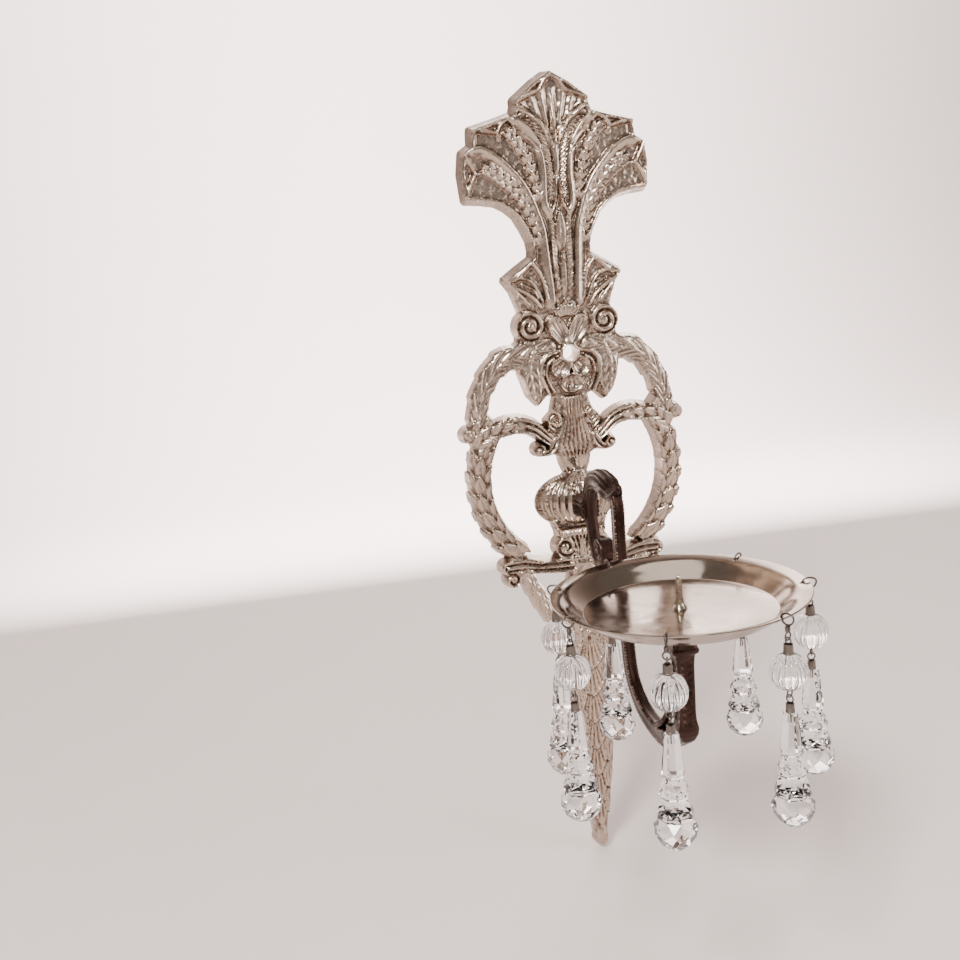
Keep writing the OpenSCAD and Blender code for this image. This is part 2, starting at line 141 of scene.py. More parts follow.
class Relief:
    """Height and outline of the casting over a grid of points. The edge is a distance, negative inside."""

    def __init__(self):
        columns, rows = np.arange(0, X_END, STEP), np.arange(Z_LOW, Z_HIGH, STEP)
        self.x, self.z = np.meshgrid(columns, rows, indexing="ij")
        self.height = np.full(self.x.shape, FIELD)
        self.edge = np.full(self.x.shape, 50.0)

    def near(self, points, margin):
        """The window of the grid within a margin of some points, with its x and z."""
        p = np.array([q[:2] for q in points], float)
        low, high = p.min(0) - margin, p.max(0) + margin
        i = slice(max(int(low[0] / STEP), 0), max(int(high[0] / STEP) + 2, 0))
        k = slice(max(int((low[1] - Z_LOW) / STEP), 0), max(int((high[1] - Z_LOW) / STEP) + 2, 0))
        return (i, k), self.x[i, k], self.z[i, k]

    def polar(self, x, z, reach):
        """The window round a point, with the distance from it and the direction in degrees."""
        w, gx, gz = self.near([(x, z)], reach)
        return w, np.hypot(gx - x, gz - z), np.degrees(np.arctan2(gz - z, gx - x))

    def strip(self, x, z, heading, length, half):
        """The window round a strip from x, z, with the share of its length and the distance across."""
        c, s = math.cos(math.radians(heading)), math.sin(math.radians(heading))
        w, gx, gz = self.near([(x, z), (x + length * c, z + length * s)], half)
        dx, dz = gx - x, gz - z
        return w, (dx * c + dz * s) / length, dz * c - dx * s

    def widen(self, w, edge):
        """Adds the area where edge is negative to the casting."""
        self.edge[w] = np.minimum(self.edge[w], edge)

    def outline(self, points):
        w, x, z = self.near(points, 8)
        self.widen(w, polygon_distance(points, x, z))

    def disc(self, x, z, r):
        w, d, _ = self.polar(x, z, r + 8)
        self.widen(w, d - r)

    def lift(self, w, value, inside):
        """Raises the relief to a value where inside holds."""
        self.height[w] = np.where(inside & (value > self.height[w]), value, self.height[w])

    def paint(self, w, value, depth):
        """Replaces the relief by a value, blended over the first half millimetre inside its edge."""
        share = clip01(depth / 0.5)
        self.height[w] = value * share + self.height[w] * (1 - share)

    def ridge(self, line, left, right=None, top=TOP, fade=0.0):
        """A rounded ridge along a line, with its own half width on each side."""
        right = left if right is None else right
        w, x, z = self.near(line, max(left, right))
        across, along, _, total = locate(line, x, z)
        q = np.where(across > 0, across / left, across / right)
        ends = clip01(np.minimum(along, total - along) / (fade * total)) ** 0.5 if fade else 1.0
        self.lift(w, FIELD + (top - FIELD) * (1 - q * q) * ends, np.abs(q) < 1)

    def leaf(self, x, z, heading, length, half, tip, root, dome, crease=0.5):
        """An almond leaf from x, z, that rises from its root's height to its tip's."""
        w, u, v = self.strip(x, z, heading, length, half)
        width = half * np.sin(np.pi * np.clip(u, 1e-6, 1 - 1e-6) ** 0.8) ** 0.8
        q = np.clip(v / width, -1, 1)
        value = root + (tip - root) * u + dome * (1 - q * q) - crease * np.exp(-((v / 0.45) ** 2))
        if half > 3:
            value += 0.3 * bulge((np.abs(q) - 0.72) / 0.2)
        self.lift(w, value, (u > 0) & (u < 1) & (np.abs(v) < width))

    def sprig(self, line, steps, length, half):
        """Almond leaves in threes along a line, pointing back towards the line's start."""
        p = smooth(line, 12)
        for n in range(steps):
            k = int((n + 0.8) / steps * (len(p) - 2))
            back = p[k] - p[k + 1]
            heading = math.degrees(math.atan2(back[1], back[0]))
            size = 1 - 0.3 * n / steps
            for turn, share in ((27, 0.85), (-27, 0.85), (0, 1.0)):
                self.leaf(*p[k], heading + turn, length * size * share, half * size, TOP, 8.8, 1.0, 0.6)

    def rope(self, line, half, pitch, lean=0.8, top=11.0):
        """A strip of slanting ticks."""
        w, x, z = self.near(line, half)
        across, along, _, total = locate(line, x, z)
        tick = clip01(0.45 + 0.55 * wave((along + lean * across * 2) / pitch))
        value = FIELD + 0.3 + (top - FIELD - 0.3) * tick * (1 - (across / half) ** 2)
        self.lift(w, value, (np.abs(across) < half) & (along > 0) & (along < total))

    def fan(self, x, z, heading, spread, inner, outer, count, depth):
        """Ribs that radiate from a point, added to what is there."""
        w, r, direction = self.polar(x, z, outer)
        a = (direction - heading + 180) % 360 - 180
        share = clip01((spread - np.abs(a)) / 6) * clip01((r - inner) / 2) * clip01((outer - r) / 1.5)
        self.height[w] += depth * share * np.cos(np.pi * count * a / spread)

    def volute(self, x, z, r, turns, start):
        """A disc with a spiral ridge that winds in to a bead."""
        self.disc(x, z, r)
        w, d, direction = self.polar(x, z, r)
        rho = d / r
        phase = (turns * (1 - rho) - (direction - start) / 360) % 1
        value = FIELD - 0.4 + (TOP - FIELD + 0.4) * (1 - (2 * phase - 1) ** 2) ** 0.8
        value = np.where(rho < 0.24, TOP - 0.9 + 1.3 * np.sqrt(bulge(rho / 0.24)), value)
        self.paint(w, value, (1 - rho) * r)

    def petal(self, x, z, heading, length, half, top, bowl, ribs):
        """A cupped petal from its root at x, z: a thick rim round a hollow with ribs."""
        w, u, v = self.strip(x, z, heading, length, half)
        v = v / half
        r = np.hypot((u - 0.56) / 0.44 * np.where(u < 0.56, 0.79, 1), v)
        value = top - bowl * bulge(r / 0.84) ** 0.7 + 0.5 * bulge((r - 0.84) / 0.16)
        value += 0.45 * np.cos(np.pi * ribs * v / np.maximum(u + 0.25, 0.3)) * (r < 0.66)
        self.paint(w, value, (1 - r) * half)

    def scale(self, x, tip, half, length, top=TOP + 0.1, ribs=7.5, drop=2.6):
        """A pointed fan scale whose tip is lowest and stands highest."""
        w, gx, gz = self.near([(x, tip), (x, tip + length)], half)
        dx, dz = gx - x, gz - tip
        u = np.clip(dz / length, 1e-6, 1)
        width = half * (1 - (1 - clip01(u / 0.62)) ** 1.7) ** 0.75
        inset = np.minimum(width - np.abs(dx), dz * 0.8 + 0.05)
        value = top - drop * u
        value += 0.75 * wave(np.arctan2(dx, length * 1.12 - dz) * ribs) * clip01((inset - 0.3) / 0.8)
        value += 0.45 * bulge((inset - 0.8) / 0.8)
        self.lift(w, value, (dz > 0) & (dz < length) & (np.abs(dx) < width))
        self.widen(w, np.where(dz < length, np.maximum(np.abs(dx) - width, -dz * 0.8), 50.0))

    def acanthus(self, line, pitch, lean, top=11.9):
        """A ribbed leaf along a line, with lobes that sweep back from its rib and notch its edges."""
        w, x, z = self.near(line, 12)
        across, along, half, _ = locate(line, x, z)
        c = np.abs(across) / half
        lobe = along / pitch + 0.37 * (across > 0)
        dome = (top - FIELD - 0.8) * (0.45 + 0.55 * bulge(c))
        value = FIELD + 0.5 + dome * (0.5 + 0.5 * saw(lobe + lean * c))
        value += 0.45 * wave(3.2 * c + along / 7.5) * clip01(c * 3) * clip01((1 - c) * 5)
        value = np.maximum(value, top * bulge(across / 1.3))
        inset = half * (0.84 + 0.17 * saw(lobe + lean)) - np.abs(across)
        self.paint(w, value, inset)
        self.widen(w, -inset)

    def fluted(self, line, ribs, top=11.9):
        """Parallel ribs along a line."""
        valley = 9.3
        w, x, z = self.near(line, 12)
        across, _, half, _ = locate(line, x, z)
        share = np.abs(np.cos(np.pi * ribs * (across / half + 1) / 2 + np.pi / 2)) ** 0.8
        self.paint(w, valley + (top - valley) * share, half - np.abs(across))
        self.widen(w, np.abs(across) - half)


def blur(a, cells):
    """Box blur, over 2 * cells + 1 points each way."""
    n = 2 * cells + 1
    for axis in (0, 1):
        pad = [(cells + 1, cells) if axis == i else (0, 0) for i in (0, 1)]
        total = np.cumsum(np.pad(a, pad, mode="edge"), axis=axis)
        size = total.shape[axis]
        a = (np.take(total, range(n, size), axis) - np.take(total, range(size - n), axis)) / n
    return a


PALMETTE = [
    (0, 191), (12, 184), (26.5, 173), (26.5, 168.5), (28, 164), (42, 160), (58, 156), (58.5, 145),
    (65, 141), (67, 127), (65.5, 108.5), (54, 107.5), (44, 105.5), (37, 101.5), (31, 96), (26, 87),
    (22.5, 79), (21.5, 72), (22, 67.5), (43.5, 54), (38, 46), (33, 30), (0, 30),
]
HEART = [
    (0, 34), (33, 34), (37, 10), (37, -12), (32, -28), (24.7, -36.5), (17, -29), (12.5, -31),
    (15.5, -42), (21, -47), (19, -60), (18, -71), (12, -74), (11, -80), (8.2, -87), (12, -94), (0, -94),
]
URN = [(0, -120), (22, -120), (18, -131), (17, -138), (20, -146), (16, -160), (0, -160)]
BUD = [(0, -184), (11.5, -184), (12, -168), (10, -160), (5, -155), (0, -153)]
COLLAR = [(0, -214), (22.5, -214), (22.5, -204), (16, -189), (12, -184), (6, -186), (0, -190)]

# Lines with their width: x, z, width.
UPPER_ARM = [
    (14, 5, 12), (30, 2, 18), (48, -2, 19), (59, -12, 17), (66.5, -26, 16), (69.5, -40, 15), (72, -52, 13),
]
INNER_BAND = [(70, -56, 12), (58, -50, 13), (43, -47.5, 14), (31, -50.5, 12), (22, -58, 10), (16, -64, 8)]
CURL_STEM = [(14, -62, 8), (19, -69, 7), (26, -71, 4)]
CROSS_BAND = [(57, -151, 12), (45, -151, 13), (32, -153.5, 11), (15, -154.5, 13), (0, -155, 13)]
LOWER_ARM = [(45, -158, 13), (38.5, -170, 13), (33.5, -180, 13.5), (27.5, -189.5, 15), (16, -203, 19)]

RING_Z, RING_R, RING_W = -88.0, 81.0, 19.0
BALL_Z = -108.0
TAIL_TOP, TAIL_END = -207.0, -384.5
SCALE_ROWS, SCALE_STEP, SCALE_FIRST = 7, 21.5, -238.0
HOLE_R = 4.5


def palmette(r):
    """Five lobes on one stem."""
    r.outline(both(PALMETTE))
    # A rim just inside the outline.
    w, _, z = r.near(PALMETTE, 0)
    q = (-r.edge[w] - 1.9) / 1.6
    r.lift(w, FIELD + 2.3 * (1 - q**2), (np.abs(q) < 1) & (z > 40))
    # Rims between the lobes, steep on the upper side.
    r.ridge([(57, 143), (50, 142.5), (40, 136), (31, 127), (24, 118), (19, 108), (15, 97), (12, 86),
             (11, 75), (10, 60), (9, 48), (8.5, 36)], 6.0, 2.0)
    r.ridge([(28, 161), (21, 157), (14, 148.5), (10, 138), (8.5, 124), (9, 112), (8.8, 103), (6, 97)],
            5.0, 1.5)
    r.ridge([(6, 97), (2.8, 103), (1.4, 112), (1, 120)], 1.2, 1.6)
    r.ridge([(26, 167.5), (17, 162.5), (9.5, 156), (4, 146), (1.4, 136), (0.6, 124)], 1.5, 3.0)
    # Veins of the middle leaf and its rib.
    r.fan(0, 128, 90, 58, 10, 52, 13, 0.6)
    r.ridge([(0, 176), (0, 150), (0, 112)], 1.7, top=TOP + 0.3, fade=0.4)
    r.ridge([(0, 170), (0, 158), (0, 146)], 2.6, top=TOP + 0.6, fade=0.5)
    # Folded ends of the lobes.
    r.ridge([(0, 187.3), (4.5, 185), (9.5, 178), (15.5, 175.5), (25, 171.5)], 1.7, top=TOP + 0.3)
    r.ridge([(29.5, 161.5), (34, 159.5), (38, 156), (40.5, 152.5), (47, 153.5), (56.5, 154.8)],
            1.7, top=TOP + 0.3)
    r.ridge([(64.3, 140), (61, 134), (57.8, 127), (61, 120), (64.5, 111.5)], 1.9, top=TOP + 0.3)
    r.ridge([(57.8, 127), (53, 126)], 1.6, fade=0.5)
    r.ridge([(40.5, 152.5), (37, 148)], 1.6, fade=0.5)
    # Sprigs of leaves in the lobes.
    r.sprig([(46, 127.5), (38, 121), (31, 114), (25, 105.5), (20, 95.5), (16.5, 84), (15, 72)],
            10, 13.0, 2.5)
    r.sprig([(30, 150), (25, 142), (20.5, 133), (17.2, 122), (15, 112), (13.5, 102)], 8, 11.5, 2.2)
    # Ropes beside the middle leaf and down the stem.
    r.rope([(23.5, 163), (16, 157.5), (10, 149.5), (6.6, 139), (5.0, 127), (4.6, 116), (4.8, 106)],
           2.6, 3.1)
    r.rope([(6.6, 93), (5.8, 78), (5.4, 62), (5.0, 44)], 2.4, 3.0)
    r.rope([(19.5, 104), (14.5, 92), (12.8, 78), (11.6, 62), (10.4, 46)], 1.7, 3.2)
    # Spear leaves of the stem.
    r.leaf(0, 71, 90, 28, 4.2, 11.6, 9.6, 0.9)
    r.leaf(0, 40, 90, 33, 2.6, 11.4, 9.6, 1.2)
    r.ridge([(7.4, 96), (6.9, 78), (6.6, 60), (4.6, 42)], 0.9, top=11.2)
    # Spurs: small leaves that curl out beside the stem.
    r.ridge([(43, 54), (34, 54.5), (28, 60), (22.5, 64.5)], 1.8, 3.6)
    r.ridge([(23, 65), (17.5, 58), (14.5, 49), (13, 38)], 2.2, 1.5)
    r.ridge([(40.5, 51), (31, 46), (23, 40), (18, 33)], 1.8, top=11.6)
    r.ridge([(36, 46), (30, 40.5), (25.5, 35)], 1.3, top=11.2)
    r.ridge([(31, 55), (24, 52), (19.5, 45), (16.5, 37)], 1.4, top=11.4)
    r.ridge([(30, 50), (23, 46), (19.5, 40)], 1.0, top=11.0)


def flower(r):
    """Volutes, tulip petals and the flower round the hanging hole."""
    r.outline(both(HEART))
    # Small shell over the petals.
    for x, heading in ((0, 90), (2.6, 66), (4.6, 44)):
        r.leaf(x * 0.6, 25.5, heading, 13.5 - x * 0.8, 2.3, 11.6, 10.6, 0.7, 0.9)
    # Hanging side leaves and the wave beside the petals.
    r.leaf(29, 12, -93, 49, 8.6, 11.0, 9.8, 0.8, 0.7)
    for k, z in enumerate((-2, -9, -16)):
        r.leaf(29.5 - 0.4 * k, z, -70, 15, 2.6, 12.2, 10.2, 0.7)
        r.leaf(29 - 0.4 * k, z - 2, -114, 13, 2.4, 12.0, 10.2, 0.7)
    r.ridge([(25, 6), (29.5, -5), (29.5, -18), (27, -33)], 1.2, top=TOP + 0.3)
    r.ridge([(33, -14), (35.2, -18), (33, -22), (31, -20)], 1.2)
    r.ridge([(8, 2), (16, 0), (21.3, -6), (22, -14), (19.5, -22), (16.5, -29)], 1.7, 2.2, top=TOP + 0.2)
    r.ridge([(12, -3), (16.5, -7), (17.8, -14), (15.5, -22), (12.5, -27)], 1.5, top=11.6)
    r.ridge([(25, 3), (24.6, -6), (24.2, -16), (24.4, -28)], 1.0, top=11.4)
    r.volute(27.3, 20.7, 11.2, 2.3, 140)
    # Petals and the rim of the hole.
    r.petal(1.2, 5.5, 62, 24, 6.8, 12.0, 1.6, 4)
    r.petal(0, -14, -90, 14.5, 9.0, 12.0, 2.8, 3)
    r.petal(1.2, -3.5, -46, 16.5, 7.4, 12.4, 2.8, 3)
    w, d, _ = r.polar(0, 0, 7.6)
    r.paint(w, 10.6 + 2.9 * np.sqrt(bulge((d - 5.9) / 1.8)), 7.8 - d)


def neck(r):
    """The ribbed fan leaf on the neck, with its curls."""
    w, x, z = r.near([(0, -31), (16, -84)], 6)
    half = np.interp(z, [-86, -83, -80, -76, -72, -68, -64, -60, -55, -50, -44, -37, -31],
                     [2, 5.5, 8.0, 9.6, 10.8, 13.4, 14.4, 13.2, 10.8, 9.2, 8.2, 7.6, 8.4])
    q = x / half
    ribs = wave(4 * q)
    value = 12.2 - 1.6 * q * q + 0.85 * ribs * (np.abs(q) < 0.95) * clip01((z + 75) / 4)
    value -= 1.3 * clip01((-72 - 2.5 * ribs - z) / 1.2) * clip01((z + 90) / 8)
    r.paint(w, value, np.minimum(half - x, -30.5 - z))
    r.ridge([(16, -40), (11.5, -43), (9.8, -48.5), (13, -51.5), (16, -49)], 1.7)
    r.ridge([(19, -45), (18, -51), (14, -55)], 1.3, top=11.2)


def wreath(r):
    """The open ring of laurel leaves, three abreast, with tips that point up."""
    w, x, z = r.near([(0, RING_Z - RING_R), (RING_R, RING_Z + RING_R)], 2)
    rho = np.hypot(x, z - RING_Z)
    mid = RING_R - RING_W / 2
    theta = np.degrees(np.arctan2(z - RING_Z, x))
    span = np.radians(np.maximum(theta - 33, -51.6 - theta)) * rho
    band = np.maximum(np.abs(rho - mid) - RING_W / 2 + 1.4, span)
    r.widen(w, band)
    r.paint(w, FIELD + 0.6 - 0.012 * (rho - mid) ** 2, -band)

    def on_ring(degrees, radius):
        turn = math.radians(degrees)
        return np.array([radius * math.cos(turn), radius * math.sin(turn)])

    for n in range(9):
        for offset, lean, shift in ((0, 0, 0.5), (5.0, -13, 0), (-5.0, 13, 0)):
            place = -56 + (n + shift) * 10.6
            heading = place + 90 + lean
            root = on_ring(place, mid + offset) + (0, RING_Z)
            r.leaf(*root, heading, 19.5, 4.5, TOP + 0.4, 7.8, 1.3, 0.9)
            if offset:
                tip = root + on_ring(heading, 15.5)
                side = root * 0.5 + tip * 0.5 + np.sign(offset) * on_ring(place, 2.2)
                back = on_ring(place + 9, mid) + (0, RING_Z)
                r.outline([tuple(p) for p in (root, side, tip, back)])


def arms(r):
    """The leaf arms, bands and curls."""
    r.acanthus(UPPER_ARM, 15.0, 1.0)
    r.fluted(INNER_BAND, 3)
    # The inner band's outer end is bare ground under laurel leaves.
    w, x, z = r.near([(44, -64), (78, -40)], 2)
    across, _, half, _ = locate(INNER_BAND, x, z)
    bare = clip01((x - 43) / 4) * (np.abs(across) < half)
    r.height[w] = r.height[w] * (1 - bare) + FIELD * bare
    r.fluted(CURL_STEM, 2)
    r.fluted(CROSS_BAND, 3)
    r.acanthus(LOWER_ARM, 12.0, -0.9)
    for x, z, radius, start in ((77.3, -50.8, 6.1, 90), (26.5, -67.3, 5.2, 200), (54.2, -160.5, 6.2, 0)):
        r.volute(x, z, radius, 1.3, start)
    for x, z, heading in (
            (75, -61, 118), (71, -56, 130), (64, -52, 150), (56, -49.5, 165), (48, -48.5, 178)):
        c, s = math.cos(math.radians(heading)), math.sin(math.radians(heading))
        for turn, shift in ((-30, 3.6), (30, -3.6), (0, 0)):
            r.leaf(x + shift * s, z - shift * c, heading + turn, 13.5, 3.5, TOP + 0.3, 8.6, 1.2, 0.7)


def ball(r):
    """The urn with its scrolls, the gadrooned ball, the small shell on it and the beaded collar."""
    r.outline(both(URN))
    r.volute(12.8, -141, 8.9, 2.0, 60)
    for k in range(3):
        r.ridge([(2.5 + 3.5 * k, -134), (1.5 + 2 * k, -142 - 3 * k), (2 + 4 * k, -152 - k)], 1.2, top=11.6)
    r.ridge([(0, -133), (0, -148)], 1.3)
    # Ball: its ribs follow its meridians and fade towards its edge.
    w, x, z = r.near([(0, BALL_Z - 20), (31, BALL_Z + 20)], 2)
    z = z - BALL_Z
    behind = 19.4      # its level sections are arcs whose centre is this far behind the back
    profile = behind + 16.8 * np.sqrt(bulge(z / 19.5))
    depth = np.sqrt(np.clip(profile**2 - x**2, 0, None))
    limit = 30.9 * np.sqrt(bulge(z / 19.6))
    angle = np.degrees(np.arcsin(clip01(x / np.maximum(limit, 1e-3))))
    rib = 1 - np.abs(np.sin(np.pi * angle / 10.0)) ** 1.2
    fade = clip01((18.2 - np.abs(z)) / 5) * clip01((64 - angle) / 6)
    front = depth - behind + 0.6 - 1.6 * rib * fade
    inside = np.minimum(limit - x, 19.5 - np.abs(z))
    covered = r.edge[w] < -0.5
    r.widen(w, -inside)
    r.paint(w, np.maximum(front, np.where(covered, r.height[w], 1.2)), inside)
    # Shell.
    w, x, z = r.near([(0, -84), (12, -103)], 4)
    angle, d = np.degrees(np.arctan2(x, -(z + 79))), np.hypot(x, z + 79)
    ribs = wave(angle / 11)
    value = np.maximum(r.height[w], 11.4) + 0.9 + 0.7 * ribs * clip01(d / 8)
    r.paint(w, value, np.minimum(np.minimum(20.5 + 1.2 * ribs - d, d - 5), (36 - np.abs(angle)) * 0.2))
    # Collar: a row of beads between two fillets.
    w, x, z = r.near([(0, -133), (18.5, -127)], 1)
    z = z + 130.2
    bead = np.sqrt(clip01(1 - (((x % 3.1) - 1.55) / 1.5) ** 2 - (z / 1.7) ** 2))
    inside = np.minimum(18.5 - x, 3.1 - np.abs(z))
    r.widen(w, -inside)
    r.paint(w, 11.0 + 1.8 * bead + 1.2 * bulge((np.abs(z) - 2.4) / 0.7), inside)


def bud_and_collar(r):
    """The bud between the lower arms and the pair of C-leaves over the tail."""
    r.outline(both(BUD))
    r.outline(both(COLLAR))
    w, x, z = r.near([(0, -153), (12, -186)], 1)
    half = np.interp(z, [-184, -178, -168, -160, -156, -154], [5, 7, 9.5, 9, 6, 1])
    inset = half - x
    value = 10.0 + np.cos(clip01(x / half) * np.pi / 2) + 1.5 * bulge((inset - 1.3) / 1.3)
    r.paint(w, value, np.minimum(inset, -154 - z))
    r.ridge([(0, -158), (0, -178)], 0.9, top=11.6, fade=0.5)
    r.petal(3, -186, 62, 12, 4.6, 12.2, 1.6, 2)
    r.fluted([(3, -204, 3), (7, -211, 7), (14, -210, 9), (18.5, -202, 10), (15, -192, 9), (9, -186, 6)],
             4, TOP + 0.2)


def tail(r):
    """Overlapping fan scales down to a smooth, rounded tip."""
    r.outline(both([(0, TAIL_TOP + 2), (21, TAIL_TOP + 2), (20, -250), (13.5, -315), (6.5, -360),
                    (5.0, TAIL_END + 10), (4.4, TAIL_END + 6)]))
    w, _, z = r.near([(0, TAIL_END), (26, TAIL_TOP)], 1)
    r.height[w] = np.where(z < TAIL_TOP, 8.6, r.height[w])
    for k in range(SCALE_ROWS):
        tip = SCALE_FIRST - k * SCALE_STEP
        width = 25 - 17.5 * (TAIL_TOP - tip) / (TAIL_TOP - TAIL_END)
        r.scale(width * 0.64, tip + 10, width * 0.37, 26)
        r.scale(0, tip, width * 0.6, 31)
    tip_r = 5.6
    r.disc(0, TAIL_END + tip_r, tip_r)
    w, x, z = r.near([(0, TAIL_END), (8, TAIL_END + 24)], 1)
    z = z - TAIL_END - 6
    q = np.hypot(x / tip_r, z / np.where(z < 0, 6, 15))
    r.lift(w, 6.5 + tip_r * np.sqrt(bulge(q)), q < 1)


def plate_relief():
    r = Relief()
    for ornament in (wreath, arms, palmette, flower, neck, ball, bud_and_collar, tail):
        ornament(r)
    r.edge = np.maximum(r.edge, HOLE_R - np.hypot(r.x, r.z))
    r.height = 0.6 * r.height + 0.4 * blur(r.height, 1)
    # Hammered texture, stronger on the low ground.
    grain = blur(np.random.default_rng(7).normal(0, 1, r.height.shape), 1)
    r.height += grain * np.interp(r.height, [FIELD + 0.4, FIELD + 1.6], [0.34, 0.09])
    return r


class Shape:
    """Points and faces of one piece, in millimetres, with one number of wear for each point."""

    def __init__(self):
        self.points, self.faces, self.wear = [], [], []

    def add(self, points, faces, wear=0.0):
        start = len(self.points)
        self.points += [tuple(p) for p in points]
        self.wear += [wear] * len(points)
        self.faces += [tuple(start + k for k in face) for face in faces]

    def skin(self, rings, closed=False, wear=0.0):
        """Joins rings of points. An open row of rings gets a face at each end."""
        n, m = len(rings[0]), len(rings)
        faces = []
        for j in range(m if closed else m - 1):
            a, b = j * n, (j + 1) % m * n
            faces += [(a + i, a + (i + 1) % n, b + (i + 1) % n, b + i) for i in range(n)]
        if not closed:
            faces += [tuple(reversed(range(n))), tuple((m - 1) * n + i for i in range(n))]
        self.add([p for ring in rings for p in ring], faces, wear)

    def tube(self, path, radius, sides=10, closed=False):
        """A round wire along a path."""
        p = np.array(path, float)
        ahead = np.roll(p, -1, 0) - np.roll(p, 1, 0)
        if not closed:
            ahead[0], ahead[-1] = p[1] - p[0], p[-1] - p[-2]
        ahead /= np.linalg.norm(ahead, axis=1)[:, None]
        side = np.cross(ahead[0], (0.31, 0.52, 0.79))
        turn = circle_angles(sides)[:, None]
        rings = []
        for point, a in zip(p, ahead):
            side = side - a * np.dot(side, a)
            side /= np.linalg.norm(side)
            rings.append(point + radius * (np.cos(turn) * side + np.sin(turn) * np.cross(a, side)))
        self.skin(rings, closed)

    def lathe(self, profile, sides, closed=False, bumps=None):
        """Turns a profile of (radius, height) about the z axis. Bumps are a share of the radius."""
        angle = circle_angles(sides)
        rings = []
        for k, (r, z) in enumerate(profile):
            radius = r * (1 + bumps(angle, k)) if bumps else r * np.ones(sides)
            rings.append(level_ring(radius * np.cos(angle), radius * np.sin(angle), z))
        self.skin(rings, closed)

    def bead(self, centre, radius, wear):
        """A small round bead."""
        angle = circle_angles(6)
        rings = []
        for t in np.pi * (np.arange(4) + 0.5) / 4:
            r = radius * math.sin(t)
            ring = level_ring(r * np.cos(angle), r * np.sin(angle), radius * math.cos(t))
            rings.append(ring + np.array(centre))
        self.skin(rings, wear=wear)

    def mesh(self, name, angle=38):
        return finished(name, self.points, self.faces, "wear", self.wear, angle)


def circle_angles(count):
    return np.linspace(0, 2 * np.pi, count, endpoint=False)


def level_ring(x, y, z):
    return np.stack([x, y, np.full(len(x), float(z))], 1)


def upright_ring(x, y, z):
    return np.stack([x, np.full(len(x), float(y)), z], 1)


def linked(name, data):
    """A new object in the scene."""
    o = bpy.data.objects.new(name, data)
    bpy.context.scene.collection.objects.link(o)
    return o


def finished(name, points, faces, layer, values, angle):
    """A mesh from points in millimetres, with one number for each point. Its faces look outwards, and it is
    smooth except across edges sharper than the angle."""
    made = bpy.data.meshes.new(name)
    made.from_pydata((np.array(points) * MM).tolist(), [], faces)
    made.attributes.new(layer, "FLOAT", "POINT").data.foreach_set("value", values)
    bm = bmesh.new()
    bm.from_mesh(made)
    bmesh.ops.recalc_face_normals(bm, faces=bm.faces)
    bm.to_mesh(made)
    bm.free()
    made.polygons.foreach_set("use_smooth", [angle > 0] * len(made.polygons))
    if angle > 0:
        made.set_sharp_from_angle(angle=math.radians(angle))
    return made


def put(name, made, material, node, body, matrix=None):
    """Shows a mesh in place of a CAD node, on that node's body."""
    if matrix is not None:
        made = made.copy()
        made.transform(matrix)
    made.materials.append(material)
    piece = linked(name, made)
    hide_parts(node)
    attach(piece, body)


# ---- Materials.


class Paint:
    """A material and its nodes."""

    def __init__(self, name):
        self.made = bpy.data.materials.new(name)
        self.made.use_nodes = True
        self.tree = self.made.node_tree
        self.surface = self.tree.nodes["Principled BSDF"]
        self.place = self.node("ShaderNodeTexCoord").outputs["Object"]

    def plug(self, value, socket):
        """Links a socket to another one, or sets a constant on it."""
        if isinstance(value, bpy.types.NodeSocket):
            self.tree.links.new(value, socket)
        else:
            socket.default_value = value

    def fill(self, made, values):
        for key, value in values.items():
            self.plug(value, made.inputs[key.replace("_", " ")])
        return made

    def node(self, kind, **values):
        return self.fill(self.tree.nodes.new(kind), values)

    def set(self, **values):
        self.fill(self.surface, values)

    def noise(self, scale, detail, rough=0.6):
        made = self.node("ShaderNodeTexNoise", Vector=self.place, Scale=scale, Detail=detail, Roughness=rough)
        return made.outputs["Fac"]

    def spread(self, value, low, high, start, end):
        """Maps a value from low..high to start..end, held at the ends."""
        return self.node("ShaderNodeMapRange", Value=value, From_Min=low, From_Max=high, To_Min=start,
                         To_Max=end).outputs["Result"]

    def mix(self, share, a, b):
        """A colour from a where share is 0 to b where it is 1."""
        made = self.node("ShaderNodeMix")
        made.data_type = "RGBA"
        factor, color_a, color_b = (made.inputs[k] for k in (0, 6, 7))
        for value, socket in ((share, factor), (a, color_a), (b, color_b)):
            self.plug(value, socket)
        return made.outputs[2]

    def attribute(self, name):
        made = self.node("ShaderNodeAttribute")
        made.attribute_name = name
        return made.outputs["Fac"]

    def bump(self, height, strength, distance):
        made = self.node("ShaderNodeBump", Height=height, Strength=strength, Distance=distance)
        self.set(Normal=made.outputs["Normal"])


def rgb(r, g, b):
    return (r, g, b, 1.0)


def pewter_paint():
    """Bright on the raised parts and dark in the hollows, where antiquing and painted shade go into the
    colour.
    """
    p = Paint("pewter")
    antiquing_and_shade = p.attribute("antiquing_and_shade")
    cloud = p.noise(34, 5)
    grain = p.noise(900, 3)
    pale = p.mix(cloud, rgb(0.37, 0.29, 0.235), rgb(0.55, 0.45, 0.37))
    dark = p.mix(cloud, rgb(0.16, 0.115, 0.088), rgb(0.26, 0.195, 0.155))
    # Painted shade and antiquing: the colour goes dark where the surface lies below its surroundings.
    shade = p.spread(antiquing_and_shade, -0.6, 0.05, 0.0, 1.0)
    p.set(Base_Color=p.mix(shade, dark, pale), Metallic=1.0)
    p.set(Roughness=p.spread(p.noise(160, 6), 0.3, 0.7, 0.18, 0.33))
    p.bump(grain, 0.25, 0.00012)
    return p.made


